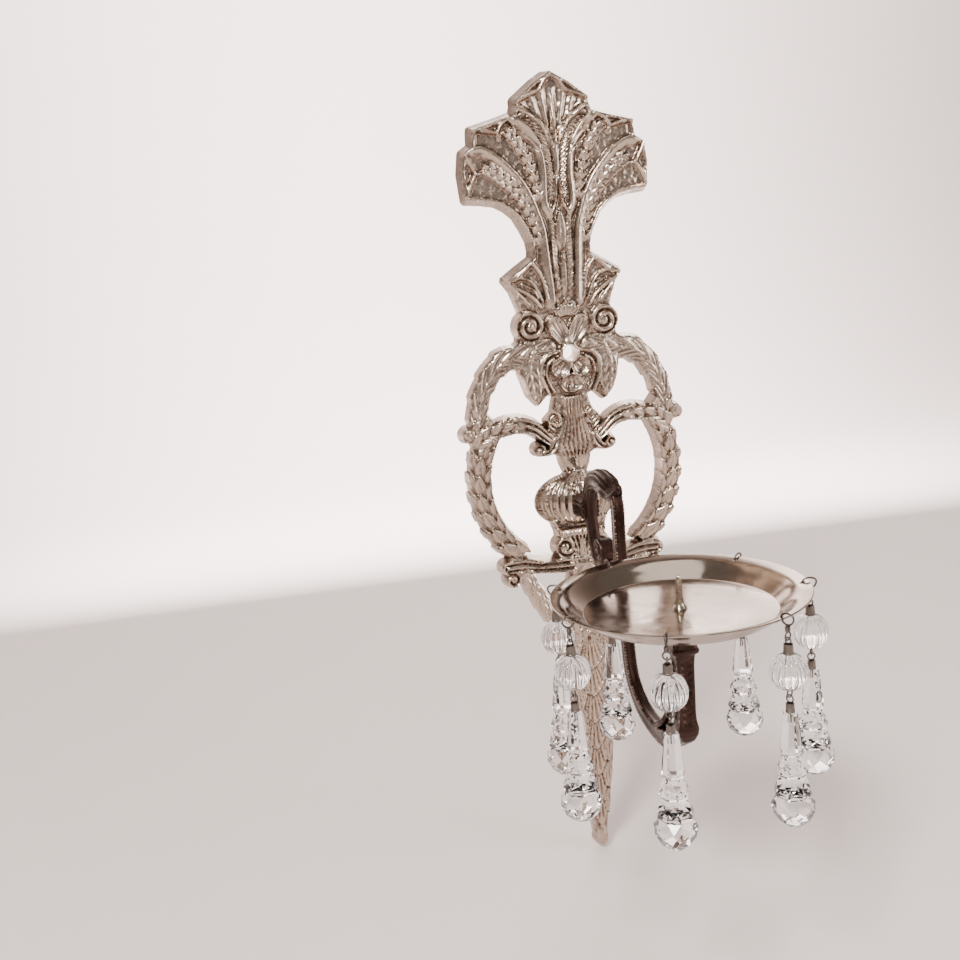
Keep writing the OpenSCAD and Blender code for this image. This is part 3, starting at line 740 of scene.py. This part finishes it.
def bronze_paint():
    """Dark brown, rubbed bright on the beads."""
    p = Paint("bronze")
    wear = p.attribute("wear")
    base = p.mix(p.noise(90, 6), rgb(0.020, 0.010, 0.008), rgb(0.060, 0.030, 0.022))
    spot = p.spread(p.noise(420, 4), 0.48, 0.66, 0.0, 0.55)
    base = p.mix(spot, base, rgb(0.025, 0.014, 0.010))
    p.set(Base_Color=p.mix(p.spread(wear, 0, 1, 0, 0.7), base, rgb(0.52, 0.36, 0.28)), Metallic=0.85)
    p.set(Roughness=p.spread(p.noise(240, 5), 0.3, 0.7, 0.22, 0.46))
    p.bump(p.noise(1300, 4), 0.35, 0.00018)
    return p.made


def nickel_paint():
    """Nearly a mirror, with dull clouds."""
    p = Paint("nickel")
    p.set(Base_Color=p.mix(p.noise(28, 6), rgb(0.28, 0.222, 0.178), rgb(0.39, 0.318, 0.262)), Metallic=1.0)
    p.set(Roughness=p.spread(p.noise(60, 7, 0.7), 0.35, 0.75, 0.07, 0.26))
    p.bump(p.noise(420, 5), 0.06, 0.0001)
    return p.made


def metal_paint(name, dark, pale, low, high):
    p = Paint(name)
    p.set(Base_Color=p.mix(p.noise(300, 5), rgb(*dark), rgb(*pale)), Metallic=1.0)
    p.set(Roughness=p.spread(p.noise(600, 4), 0.3, 0.7, low, high))
    p.bump(p.noise(2200, 3), 0.2, 0.00008)
    return p.made


def glass_paint(name, ior):
    p = Paint(name)
    p.set(Base_Color=rgb(0.985, 0.985, 0.99), Transmission_Weight=1.0, IOR=ior)
    p.set(Roughness=p.spread(p.noise(260, 3), 0.45, 0.75, 0.0, 0.05))
    p.bump(p.noise(160, 2), 0.1, 0.00015)
    return p.made


PEWTER, BRONZE, NICKEL = pewter_paint(), bronze_paint(), nickel_paint()
BRASS = metal_paint("spike_brass", (0.40, 0.34, 0.27), (0.58, 0.51, 0.41), 0.12, 0.28)
STEEL = metal_paint("steel", (0.05, 0.04, 0.034), (0.19, 0.165, 0.145), 0.25, 0.45)
SLEEVE = metal_paint("ferrule_steel", (0.075, 0.065, 0.055), (0.22, 0.19, 0.165), 0.3, 0.5)
BEAD_GLASS, PENDANT_GLASS = glass_paint("bead_glass", 1.5), glass_paint("pendant_glass", 1.52)

# ---- Backplate.

DRAFT_FRONT, DRAFT_BACK = 0.5, 0.8   # the wall's foot stands this far outside the outline
RECESS_R, RECESS_DEPTH, SCREW_R, SCREW_DEPTH = 6.2, 7.1, 2.6, 14.0
RECESS_SIDES = 40


def corners(a):
    """The four corners of each cell of a grid."""
    return a[:-1, :-1], a[1:, :-1], a[:-1, 1:], a[1:, 1:]


def kept_cells(edge):
    """Cells whose middle is inside, without cells that touch only at a corner."""
    keep = sum(corners(edge)) / 4 < -DRAFT_FRONT
    for _ in range(8):
        a, b, c, d = corners(keep)
        first, second = a & d & ~b & ~c, b & c & ~a & ~d
        padded = np.pad(keep, 1).astype(int)
        friends = padded[:-2, 1:-1] + padded[2:, 1:-1] + padded[1:-1, :-2] + padded[1:-1, 2:]
        lonely = keep & (friends < 2)
        if not (first.any() or second.any() or lonely.any()):
            break
        keep[:-1, :-1] &= ~first
        keep[1:, :-1] &= ~second
        keep &= ~lonely
    return keep


def flat_fill(points, sides):
    """Triangles in the xz plane that fill closed loops. The sides are pairs of point numbers."""
    used = sorted({n for pair in sides for n in pair})
    place = {n: k for k, n in enumerate(used)}
    flat = [Vector((points[n][0], points[n][2])) for n in used]
    links = [(place[a], place[b]) for a, b in sides]
    verts, _, triangles, origin, _, _ = delaunay_2d_cdt(flat, links, [], 0, 1e-5)
    one, two = (points[list(ends)][:, (0, 2)] for ends in zip(*sides))
    out = []
    for triangle in triangles:
        if all(origin[v] for v in triangle):
            # A triangle is inside when a level line from its middle crosses an odd number of sides.
            x, z = sum((verts[v] for v in triangle), Vector((0, 0))) / 3
            above = (one[:, 1] > z) != (two[:, 1] > z)
            a, b = one[above], two[above]
            cross = a[:, 0] + (z - a[:, 1]) * (b[:, 0] - a[:, 0]) / (b[:, 1] - a[:, 1])
            if np.sum(cross > x) % 2:
                out.append(tuple(used[origin[v][0]] for v in triangle))
    return out


def mirrored(a, sign=1):
    return np.vstack([sign * a[:0:-1], a])


def numbered(mask):
    """A grid that numbers the points of the mask, with -1 elsewhere."""
    index = np.full(mask.shape, -1)
    index[mask] = np.arange(mask.sum())
    return index


def backplate_mesh():
    """The casting: relief in front, drafted walls, and a flat back with the screw's recess."""
    half = plate_relief()
    x = mirrored(half.x, -1)
    z, height, edge = mirrored(half.z), mirrored(half.height), mirrored(half.edge)
    # Hollows are below their surroundings; the colour puts dark antiquing and painted shade in them. The
    # ball's round sides are not hollows.
    antiquing_and_shade = 0.6 * (height - blur(height, 2)) + 0.4 * (height - blur(height, 5))
    round_side = (np.hypot(x / 32, (z - BALL_Z) / 21) < 1) & (np.abs(x) > 12)
    antiquing_and_shade = np.where(round_side, np.clip(antiquing_and_shade, -0.25, None), antiquing_and_shade)
    keep = kept_cells(edge)
    cells = np.pad(keep, 1).astype(int)
    count = sum(corners(cells))
    used, rim = count > 0, (count > 0) & (count < 4)
    # Points of the rim move on to the outline, and the height falls to it in a quarter round.
    gx, gz = np.gradient(edge, STEP)
    size = np.maximum(np.hypot(gx, gz), 0.35)
    ux, uz = gx / size, gz / size
    move = np.clip(-(edge + DRAFT_FRONT) / size, -STEP, STEP) * rim
    inside = np.clip(-(edge + DRAFT_FRONT), 0, ROUND) * ~rim
    inside = np.where(np.hypot(x, z) < HOLE_R + 2.5, ROUND, inside)
    height = np.maximum(height - ROUND + np.sqrt(ROUND**2 - (ROUND - inside) ** 2), 0.5)
    height = np.where(rim, np.clip(height, 0.5, FIELD - ROUND), height)
    index = numbered(used)
    points = [np.stack([(x + move * ux)[used], -height[used], (z + move * uz)[used]], 1)]
    start = len(points[0])
    i, k = np.nonzero(keep)
    faces = np.stack([index[i, k], index[i + 1, k], index[i + 1, k + 1], index[i, k + 1]], 1).tolist()

    # Walls: one ring half way down and one on the back, from each point of the rim.
    ring, span = numbered(rim), rim.sum()
    bore = np.hypot(x, z) < HOLE_R + 3
    low, high = np.array(cad_low) / MM, np.array(cad_high) / MM
    draft = np.where(bore, 0, DRAFT_FRONT + DRAFT_BACK + np.interp(z, [30, 60], [0, 1.2]))
    for share in (0.5, 1.0):
        out = draft * share + move
        px = np.clip((x + out * ux)[rim], low[0], high[0])
        pz = np.clip((z + out * uz)[rim], low[2], high[2])
        points.append(np.stack([px, -(1 - share) * height[rim], pz], 1))
    foot = []
    # A side of the grid is part of the rim when just one of its two cells is kept.
    for (di, dk), before, after in (((1, 0), cells[1:-1, :-1], cells[1:-1, 1:]),
                                    ((0, 1), cells[:-1, 1:-1], cells[1:, 1:-1])):
        for a, b in np.argwhere(before != after):
            one, two = (a, b), (a + di, b + dk)
            p, q = ring[one] + start, ring[two] + start
            faces.append((index[one], index[two], q, p))
            faces.append((p, q, q + span, p + span))
            foot.append((p + span, q + span))

    # The screw's stepped recess, then the flat back between it and the walls' feet.
    turn = circle_angles(RECESS_SIDES)
    mouth = sum(len(p) for p in points)
    steps = (RECESS_R, 0), (RECESS_R, RECESS_DEPTH), (SCREW_R, RECESS_DEPTH), (SCREW_R, SCREW_DEPTH)
    for r, depth in steps:
        points.append(upright_ring(r * np.cos(turn), -depth, BALL_Z + r * np.sin(turn)))
    around = [(mouth + n, mouth + (n + 1) % RECESS_SIDES) for n in range(RECESS_SIDES)]
    for down in (0, RECESS_SIDES, 2 * RECESS_SIDES):
        faces += [(n + down, m + down, m + down + RECESS_SIDES, n + down + RECESS_SIDES) for n, m in around]
    faces.append(tuple(range(mouth + 3 * RECESS_SIDES, mouth + 4 * RECESS_SIDES)))
    points = np.vstack(points)
    faces += flat_fill(points, foot + around)
    values = np.zeros(len(points))
    # Each front point keeps how far it lies below its surroundings, for the antiquing and painted shade in
    # the colour.
    values[:start] = antiquing_and_shade[used]
    return finished("backplate", points, faces, "antiquing_and_shade", values, 50)


# ---- Arm. Its lines lie in the plane x = 0: y, z and thickness.

SCROLL = [
    (-64, -137, 6.5), (-60, -142, 7.5), (-50, -145, 9), (-42, -138, 9.5), (-37, -124, 9.5),
    (-34, -108, 10.5), (-37, -94, 12.5), (-47, -86, 14.5), (-62, -83, 16), (-75, -84.5, 15.5),
    (-84, -87, 12.5), (-90, -85.5, 8.5), (-95.5, -81.5, 5),
]
SCROLL_WIDTH = [(0, 8), (0.45, 8.5), (0.6, 10), (0.75, 13), (0.85, 14.5), (0.93, 11), (1, 5.5)]
BAR = [
    (-78, -85, 7), (-87, -86.5, 8.5), (-91.2, -94, 9.5), (-91.5, -104, 9.2), (-91.5, -125, 9),
    (-93.5, -160, 9), (-96, -190, 9.5), (-101, -210, 10), (-115, -223, 11), (-135, -229, 12),
    (-158, -229, 13), (-177, -221.5, 12), (-190, -213.5, 9),
]
BAR_WIDTH = 8.6
BEADED_EDGE = 0.375    # where the bar's edges lie, as a share of its width and thickness
EDGE_BEAD_R, EDGE_BEAD_PITCH = 0.74, 2.2
CROOK_LEAF = [(-148, -225, 7), (-156, -220, 7), (-162, -213, 5), (-163, -207.5, 1.6)]
ROLL_Y, ROLL_Z, ROLL_R = -59.5, -132.5, 8.4
REACH = 191.0
RIM_Z, TRAY_DEPTH, TRAY_T, TRAY_R, FLOOR_R = -123.5, 11.0, 1.4, 75.0, 56.5
RISER_TOP = RIM_Z - TRAY_DEPTH - TRAY_T - 1
# Height and half width.
RISER = [
    (-218, 2.5), (-216, 4.6), (-212, 6.3), (-208.5, 6.7), (-204, 5.7), (-199, 5.3), (-168, 5.6), (-162, 6.2),
    (-160.2, 8.2), (-158.4, 8.4), (-157.2, 7.6), (-150, 7.7), (-143, 8.2), (-139.5, 8.6), (RISER_TOP, 8.6),
]
ROUND_ARM = circle_angles(84)
ROUND_RISER = circle_angles(96)
RISER_STEP = 0.45


def planar(line, steps):
    """The smooth line, with its unit normal and the length so far at each point."""
    p = smooth(line, steps)
    ahead = np.gradient(p[:, :2], axis=0)
    ahead /= np.linalg.norm(ahead, axis=1)[:, None]
    length = np.concatenate([[0], np.cumsum(np.linalg.norm(np.diff(p[:, :2], axis=0), axis=1))])
    return p, np.stack([-ahead[:, 1], ahead[:, 0]], 1), length


def swept(line, steps, section):
    """Rings along a line. The section makes x and the way out from the thickness and the share so far."""
    p, normal, length = planar(line, steps)
    rings = []
    for (y, z, t), n, share in zip(p, normal, length / length[-1]):
        across, out = section(t, share)
        rings.append(np.stack([across, y + out * n[0], z + out * n[1]], 1))
    return rings


def squircle(angle, power):
    c, s = np.cos(angle), np.sin(angle)
    return np.sign(c) * np.abs(c) ** power, np.sign(s) * np.abs(s) ** power


def comb(count, angle):
    """Goes from 1 to 0 and back, count times in a turn."""
    return 0.5 + 0.5 * np.cos(count * angle)


def add_scroll(arm):
    """The scroll: fluted along its length, and flared into the open beak."""
    c, d = squircle(ROUND_ARM, 0.7)
    ribs = comb(14, ROUND_ARM) ** 0.7

    def section(t, share):
        flute = 1 - (0.02 + 0.12 * clip01((share - 0.4) * 3)) * ribs
        return np.interp(share, *zip(*SCROLL_WIDTH)) / 2 * c * flute, t / 2 * d * flute

    rings = swept(SCROLL, 8, section)
    mouth = rings[-1]
    centre = mouth.mean(0)
    for shrink, back in ((0.8, -0.3), (0.6, 0.5), (0.2, 1.0)):
        rings.append(centre + (mouth - centre) * shrink + np.array([0, back, 0]))
    arm.skin(rings)


def add_bar(arm):
    """The bar: four beaded edges with hollow faces between them."""
    c, d = squircle(ROUND_ARM, 0.75)
    hollow = 1 - 0.17 * comb(4, ROUND_ARM) ** 1.2
    arm.skin(swept(BAR, 10, lambda t, share: (BAR_WIDTH / 2 * c * hollow, t / 2 * d * hollow)))
    p, normal, length = planar(BAR, 10)
    luck = np.random.default_rng(3)
    for at in np.arange(14, length[-1] - 4, EDGE_BEAD_PITCH):
        y, z, t, ny, nz = (np.interp(at, length, column) for column in (*p.T, *normal.T))
        for sx in (-1, 1):
            for sn in (-1, 1):
                out = sn * t * BEADED_EDGE
                place = (sx * BAR_WIDTH * BEADED_EDGE, y + out * ny, z + out * nz)
                arm.bead(place, EDGE_BEAD_R, luck.uniform(0.0, 1.0) ** 1.6)


def add_roll(arm):
    """The roll at the scroll's lower end: a stepped face on each side of a belt with two grooves."""
    def wheels(sizes):
        for x, share in sizes:
            r = ROLL_R * share
            yield level_ring(ROLL_Y + r * np.cos(ROUND_ARM), ROLL_Z + r * np.sin(ROUND_ARM), x)[:, (2, 0, 1)]

    face = list(wheels(((5.9, 0.05), (5.9, 0.24), (4.6, 0.34), (4.9, 0.5), (5.6, 0.62), (4.8, 0.74),
                        (5.2, 0.88), (5.0, 0.97), (4.4, 1))))
    belt = list(wheels(((2.6, 1), (0.9, 0.96), (0, 1), (-0.9, 0.96), (-2.6, 1))))
    arm.skin(face + belt + [ring * np.array([-1, 1, 1]) for ring in reversed(face)])


def add_socket(arm):
    """The socket against the ball, with level flutes."""
    c, d = squircle(ROUND_ARM, 0.5)
    flute = 1 - 0.17 * comb(2 * np.pi * 2.25, d)
    rings = []
    for y, grow in ((-13, 0.92), (-16.6, 1), (-18, 1.06), (-19.5, 1.02), (-25, 0.9), (-30, 0.88), (-34, 0.95),
                    (-36, 0.8)):
        rings.append(upright_ring(7.8 * c * flute * grow, y, BALL_Z - 1 + 8.4 * d * grow))
    arm.skin(rings)


def add_riser(arm):
    """The riser: square below, round above, with herringbone leaves inside a raised border."""
    rings = []
    for z in np.arange(RISER[0][0], RISER_TOP + 0.01, RISER_STEP):
        c, d = squircle(ROUND_RISER, np.interp(z, [-221, -206, -158, -146], [0.6, 0.32, 0.32, 0.6]))
        side = np.maximum(np.maximum(np.abs(c), np.abs(d)), 1e-6)
        face = np.minimum(np.abs(c), np.abs(d)) / side
        leaf = np.interp(z, [-206, -202, -167, -163], [0, 1, 1, 0])
        carve = leaf * clip01((0.76 - face) * 8) * (0.26 - 0.20 * comb(2 * np.pi, z / 4.2 - face * 0.9))
        gadroon = np.interp(z, [-157, -155, -141, -138], [0, 1, 1, 0.3]) * 0.09 * comb(12, ROUND_RISER)
        half = np.interp(z, *zip(*RISER)) * (1 - carve - gadroon)
        rings.append(level_ring(half * c, half * d - REACH, z))
    arm.skin(rings)


def add_crook_leaf(arm):
    """The small leaf in the crook of the lower bend."""
    angle = circle_angles(24)
    arm.skin(swept(CROOK_LEAF, 8, lambda t, share: (t * 0.62 * np.cos(angle), 0.35 * t * np.sin(angle))))


def arm_mesh():
    arm = Shape()
    for add in (add_scroll, add_bar, add_roll, add_socket, add_riser, add_crook_leaf):
        add(arm)
    return arm.mesh("arm", 42)


# ---- Tray and spike.

# For each drop, where its hole is on the rim and where its hook's ring heads, in degrees.
DROPS = [(105, 90), (38, 38), (-14, -14), (-64, -64), (-118, -118), (-166, -166), (148, 148)]
HOLE_IN, RIM_HOLE_R = 4.0, 1.75
HOOK_A = 4.0           # radius of a hook's ring


def tray_mesh():
    """The dish, turned, with its seven small holes cut through the lip."""
    floor, base = -TRAY_DEPTH, -TRAY_DEPTH - TRAY_T
    wall = [(FLOOR_R, -10.7), (60.2, -7.9), (64.3, -4.6), (68, -2.1), (71, -0.95), (74, -0.15)]
    wall = smooth(wall, 5).tolist()
    upper = [(0.3, -10.4), (3.9, -10.4), (4.3, -10.7), (4.5, floor), (20, floor), (40, floor)]
    upper += [(FLOOR_R - 0.8, floor), (FLOOR_R - 0.3, floor + 0.05)] + wall + [(74.6, -0.05), (75, -0.4)]
    lower = [(75, -0.9), (74.4, -1.4)] + [(r + 0.5, z - TRAY_T) for r, z in reversed(wall[:-2])]
    lower += [(40, base), (0.3, base)]
    dish, pins = Shape(), Shape()
    dish.lathe(upper + lower, 224)
    turn = circle_angles(24)
    for hole, _ in DROPS:
        hole = math.radians(hole)
        x = (TRAY_R - HOLE_IN) * math.cos(hole) + RIM_HOLE_R * np.cos(turn)
        y = (TRAY_R - HOLE_IN) * math.sin(hole) + RIM_HOLE_R * np.sin(turn)
        pins.skin([level_ring(x, y, z) for z in (-5, 3)])
    body, cutter = linked("dish", dish.mesh("dish")), linked("cutter", pins.mesh("cutter"))
    cut = body.modifiers.new("holes", "BOOLEAN")
    cut.operation, cut.solver, cut.object = "DIFFERENCE", "EXACT", cutter
    made = bpy.data.meshes.new_from_object(body.evaluated_get(bpy.context.evaluated_depsgraph_get()))
    for o in (body, cutter):
        data = o.data
        bpy.data.objects.remove(o)
        bpy.data.meshes.remove(data)
    made.name = "tray"
    made.materials.clear()
    made.set_sharp_from_angle(angle=math.radians(35))
    return made


def pricket_mesh():
    """The spike, with a faintly fluted foot."""
    spike = Shape()
    profile = [(0.4, 0), (3.9, 0), (4.0, 0.5), (3.7, 1.0), (3.0, 1.6), (2.5, 3.2), (2.1, 6), (1.8, 10),
               (1.6, 15), (1.45, 18), (1.1, 19.3), (0.3, 19.95)]
    spike.lathe(profile, 36, bumps=lambda a, k: 0.03 * np.cos(9 * a) * (3 < k < 8))
    return spike.mesh("pricket")


# ---- Drops: heights below the ring's centre.

WIRE, PIN_WIRE = 0.55, 0.45
EYE_A, EYE_Z = 2.2, -10.1
PIN_EYE_A, PIN_EYE_Z = 1.7, -12.7
FERRULE_TOP, BEAD_TOP, BEAD_FOOT = -14.8, -20.2, -39.98
LOW_EYE_A, LOW_EYE_Z, CAP_EYE_Z = 2.1, -42.68, -45.68
CAP_TOP, PENDANT_TOP = -48.28, -53.28
BEAD_R, LOBES, FACETS, PENDANT_R = 10.3, 14, 8, 12.0


def circle(radius, height, plane, count=28):
    """A ring of points in the xz or yz plane."""
    rows = []
    for t in circle_angles(count):
        u, z = radius * math.sin(t), height + radius * math.cos(t)
        rows.append((u, 0, z) if plane == "xz" else (0, u, z))
    return rows


def hook_mesh():
    """A ring that is bent flat over the rim and hangs round below it, a twisted shank and an eye."""
    hook = Shape()
    ring = np.array(circle(HOOK_A, 0, "xz", 40))
    ring[:, 2] *= np.where(ring[:, 2] > 0, 0.58, 1.0)
    hook.tube(ring, WIRE, closed=True)
    hook.tube([(0, 0, -HOOK_A), (0, 0, EYE_Z + EYE_A)], WIRE)
    share = np.linspace(0, 1, 61)
    turn = 2 * np.pi * 3 * share
    hook.tube(np.stack([1.05 * np.cos(turn), 1.05 * np.sin(turn), -4.7 - 2.9 * share], 1), 0.5, 8)
    hook.tube(circle(EYE_A, EYE_Z, "yz"), WIRE - 0.05, closed=True)
    return hook.mesh("hook", 60)


def eyepin_mesh():
    """The wire through the ferrule and the bead, with an eye at each end."""
    pin = Shape()
    pin.tube(circle(PIN_EYE_A, PIN_EYE_Z, "xz"), PIN_WIRE, closed=True)
    pin.tube([(0, 0, PIN_EYE_Z - PIN_EYE_A), (0, 0, -30), (0, 0, LOW_EYE_Z + LOW_EYE_A)], PIN_WIRE)
    pin.tube(circle(LOW_EYE_A, LOW_EYE_Z, "yz"), PIN_WIRE, closed=True)
    return pin.mesh("eyepin", 60)


def sleeve_mesh(name, top, foot, r_top, r_foot):
    """An open sleeve with a rolled foot and three notches in its top edge."""
    sleeve = Shape()
    outside = [(r_foot - 0.3, foot), (r_foot, foot + 0.3), (r_foot, foot + 1.0), (r_foot - 0.15, foot + 1.2)]
    outside += [(r_top, top - 0.5), (r_top - 0.05, top)]
    bore = [(r_top - 0.55, top), (r_top - 0.6, top - 1.5), (0.8, top - 1.8)]
    sleeve.lathe([(0.8, foot + 0.1)] + outside + bore, 48, closed=True)
    points = np.array(sleeve.points)
    angle = np.arctan2(points[:, 1], points[:, 0])
    points[(np.cos(3 * angle) > 0.55) & (points[:, 2] > top - 0.2), 2] -= 0.7
    sleeve.points = points
    return sleeve.mesh(name, 30)


def bead_mesh():
    """A melon bead with sharp grooves and a bore."""
    bead = Shape()
    middle, half = (BEAD_TOP + BEAD_FOOT) / 2, (BEAD_TOP - BEAD_FOOT) / 2
    steps, pole = 23, math.radians(74)
    profile = [(0.8, BEAD_TOP - 0.2)]
    for t in np.linspace(-pole, pole, steps):
        profile.append((BEAD_R * math.cos(t) ** 0.8, middle - half * math.sin(t) / math.sin(pole)))
    profile.append((0.8, BEAD_FOOT + 0.2))

    def groove(angle, k):
        if k in (0, steps + 1):
            return 0 * angle
        depth = 0.10 * math.sin(math.pi * min(max((k - 0.5) / steps, 0), 1)) ** 0.6
        return -depth * (1 - np.abs(np.sin(LOBES * angle / 2)) ** 0.55)

    bead.lathe(profile, LOBES * 12, closed=True, bumps=groove)
    return bead.mesh("bead", 46)


def pendant_mesh():
    """A cut icicle: straight facets above, steps, and a ball with diamond facets."""
    # Share of the radius, distance below the top, and twist in facets.
    rows = [(0.30, 0, 0), (0.35, 1.2, 0), (0.54, 21.5, 0), (0.54, 23, 0), (0.46, 24.6, 0), (0.50, 27, 0.5),
            (0.70, 33, 0), (0.71, 34.6, 0), (0.60, 36.6, 0), (0.66, 39, 0.5), (0.84, 45, 0), (0.85, 46.8, 0),
            (0.76, 48.6, 0), (1.0, 53, 0.5), (1.0, 56.5, 0), (0.86, 61, 0.5), (0.54, 64.8, 0), (0.2, 66, 0.5)]
    points, faces = [], []
    for share, down, twist in rows:
        r = PENDANT_R * share
        for n in range(FACETS):
            t = 2 * math.pi * (n + twist + 0.5) / FACETS
            points.append((r * math.cos(t), r * math.sin(t), PENDANT_TOP - down))
    for k, (one, two) in enumerate(zip(rows, rows[1:])):
        shift = two[2] - one[2]
        for n in range(FACETS):
            a, b = k * FACETS + n, k * FACETS + (n + 1) % FACETS
            c, d = a + FACETS, b + FACETS
            if shift == 0:
                faces.append((a, b, d, c))
            elif shift > 0:
                faces += [(a, b, c), (b, d, c)]
            else:
                faces += [(a, b, d), (a, d, c)]
    faces += [tuple(reversed(range(FACETS))), tuple((len(rows) - 1) * FACETS + n for n in range(FACETS))]
    glass = Shape()
    glass.add(points, faces)
    return glass.mesh("pendant", 0)


def cap_pin_mesh():
    """The eye over the cap and its wire into the pendant."""
    pin = Shape()
    pin.tube(circle(LOW_EYE_A, CAP_EYE_Z, "xz"), PIN_WIRE, closed=True)
    pin.tube([(0, 0, CAP_EYE_Z - LOW_EYE_A), (0, 0, PENDANT_TOP - 5.6)], PIN_WIRE)
    return pin.mesh("cap_pin", 60)


# ---- The pieces in their places.


def moved(x, y, z):
    return Matrix.Translation(Vector((x, y, z)) * MM)


put("cast_plate", backplate_mesh(), PEWTER, "backplate", "sconce")
put("scroll_arm", arm_mesh(), BRONZE, "arm", "sconce")
put("dish_tray", tray_mesh(), NICKEL, "tray", "sconce", moved(0, -REACH, RIM_Z))
on_floor = moved(0, -REACH, RIM_Z - TRAY_DEPTH + 0.6)
put("spike", pricket_mesh(), BRASS, "pricket", "sconce", on_floor)
for hidden in ("arm_screw", "arm_washer", "tray_washer"):
    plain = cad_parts[hidden]
    plain.data.materials.clear()
    plain.data.materials.append(STEEL)

FERRULE = sleeve_mesh("ferrule", FERRULE_TOP + 0.4, BEAD_TOP - 0.2, 2.6, 2.9)
CAP = sleeve_mesh("cap", CAP_TOP + 0.2, PENDANT_TOP - 0.2, 2.3, 2.6)
# The pieces of a drop: node, mesh, material, body and slot.
PARTS = [
    ("hook", hook_mesh(), STEEL, "strand", "steel"),
    ("eyepin", eyepin_mesh(), STEEL, "strand", "steel"),
    ("ferrule", FERRULE, SLEEVE, "strand", "ferrule_steel"),
    ("bead", bead_mesh(), BEAD_GLASS, "strand", "bead_glass"),
    ("cap_pin", cap_pin_mesh(), STEEL, "spear", "steel"),
    ("cap", CAP, SLEEVE, "spear", "ferrule_steel"),
    ("pendant", pendant_mesh(), PENDANT_GLASS, "spear", "pendant_glass"),
]
for number, (hole, heading) in enumerate(DROPS, 1):
    on_rim = moved(0, -REACH, RIM_Z - TRAY_T / 2) @ Matrix.Rotation(math.radians(hole), 4, "Z")
    on_rim = on_rim @ moved(TRAY_R - HOLE_IN, 0, 0) @ Matrix.Rotation(math.radians(heading - hole), 4, "Z")
    on_rim = on_rim @ moved(HOOK_A, 0, 0)
    for part, made, material, body, slot in PARTS:
        put(f"{part}_mesh_{number}", made, material, f"{part}_{number}", f"{body}_{number}", on_rim)

# ---- Stage, light and camera.


def stage_sweep(name, level, wall, bend, half, color):
    """A floor that curves up into a wall behind the object."""
    profile = [(-half, level), (wall - bend, level)]
    for t in np.linspace(0.1, math.pi / 2, 14):
        profile.append((wall - bend * (1 - math.sin(t)), level + bend * (1 - math.cos(t))))
    profile.append((wall, level + half))
    points = [(x, y, z) for y, z in profile for x in (-half, half)]
    made = bpy.data.meshes.new(name)
    made.from_pydata(points, [], [(k, k + 1, k + 3, k + 2) for k in range(0, len(points) - 2, 2)])
    made.polygons.foreach_set("use_smooth", [True] * len(made.polygons))
    p = Paint(name)
    p.set(Base_Color=p.mix(p.noise(3, 5), rgb(*color), rgb(*[0.96 * c for c in color])), Roughness=0.8)
    made.materials.append(p.made)
    linked(name, made)


def area_light(name, place, target, size, power, color):
    data = bpy.data.lights.new(name, "AREA")
    data.shape, data.size, data.energy, data.color = "SQUARE", size, power, color
    lamp = linked(name, data)
    lamp.location = place
    lamp.rotation_euler = (Vector(target) - Vector(place)).to_track_quat("-Z", "Y").to_euler()


stage_sweep("studio_floor", -0.387, 2.6, 1.2, 9.0, (0.80, 0.715, 0.69))
OBJECT = (0, -0.1, -0.1)
area_light("key", (-1.0, -1.5, 1.4), OBJECT, 0.55, 84, (1.0, 0.965, 0.92))
area_light("fill", (1.6, -1.2, 0.4), OBJECT, 1.2, 30, (1.0, 0.95, 0.93))
area_light("top", (0.1, -0.2, 1.8), OBJECT, 1.0, 7, (1.0, 0.98, 0.97))
area_light("back", (0.6, 1.5, 0.9), (0, 0, -0.1), 0.8, 8, (1.0, 0.97, 0.95))
area_light("wall", (0.2, 0.9, 0.6), (0.3, 2.6, 0.35), 1.6, 165, (1.0, 0.945, 0.93))

# A dim room: darker below and above, brightest at the horizon.
world = bpy.data.worlds.new("studio")
bpy.context.scene.world = world
world.use_nodes = True
tree = world.node_tree
direction, axes, ramp, level = (tree.nodes.new("ShaderNode" + kind) for kind in (
    "TexCoord", "SeparateXYZ", "ValToRGB", "MapRange"))
tree.links.new(direction.outputs["Generated"], axes.inputs[0])
tree.links.new(axes.outputs["Z"], level.inputs["Value"])
level.inputs["From Min"].default_value, level.inputs["From Max"].default_value = -1, 1
tree.links.new(level.outputs["Result"], ramp.inputs["Fac"])
shades = ramp.color_ramp.elements
shades[0].position, shades[0].color = 0.30, rgb(0.20, 0.175, 0.165)
shades[1].position, shades[1].color = 0.85, rgb(0.30, 0.265, 0.24)
shades.new(0.55).color = rgb(0.40, 0.36, 0.34)
background = tree.nodes["Background"]
background.inputs["Strength"].default_value = 1.0
tree.links.new(ramp.outputs["Color"], background.inputs["Color"])

# The camera stands to the left of the sconce, in front of it and a little above.
RIGHT, UP = Vector((0.9698, -0.2282, -0.0859)), Vector((0.1300, 0.1860, 0.9739))
FORWARD = Vector((0.2063, 0.9557, -0.2101))
lens = bpy.data.cameras.new("camera")
lens.lens, lens.sensor_width = 43.125, 36.0
camera = linked("camera", lens)
camera.matrix_world = moved(-240.5, -788.5, 88.3) @ Matrix((RIGHT, UP, -FORWARD)).transposed().to_4x4()
bpy.context.scene.camera = camera

bpy.context.view_layer.update()
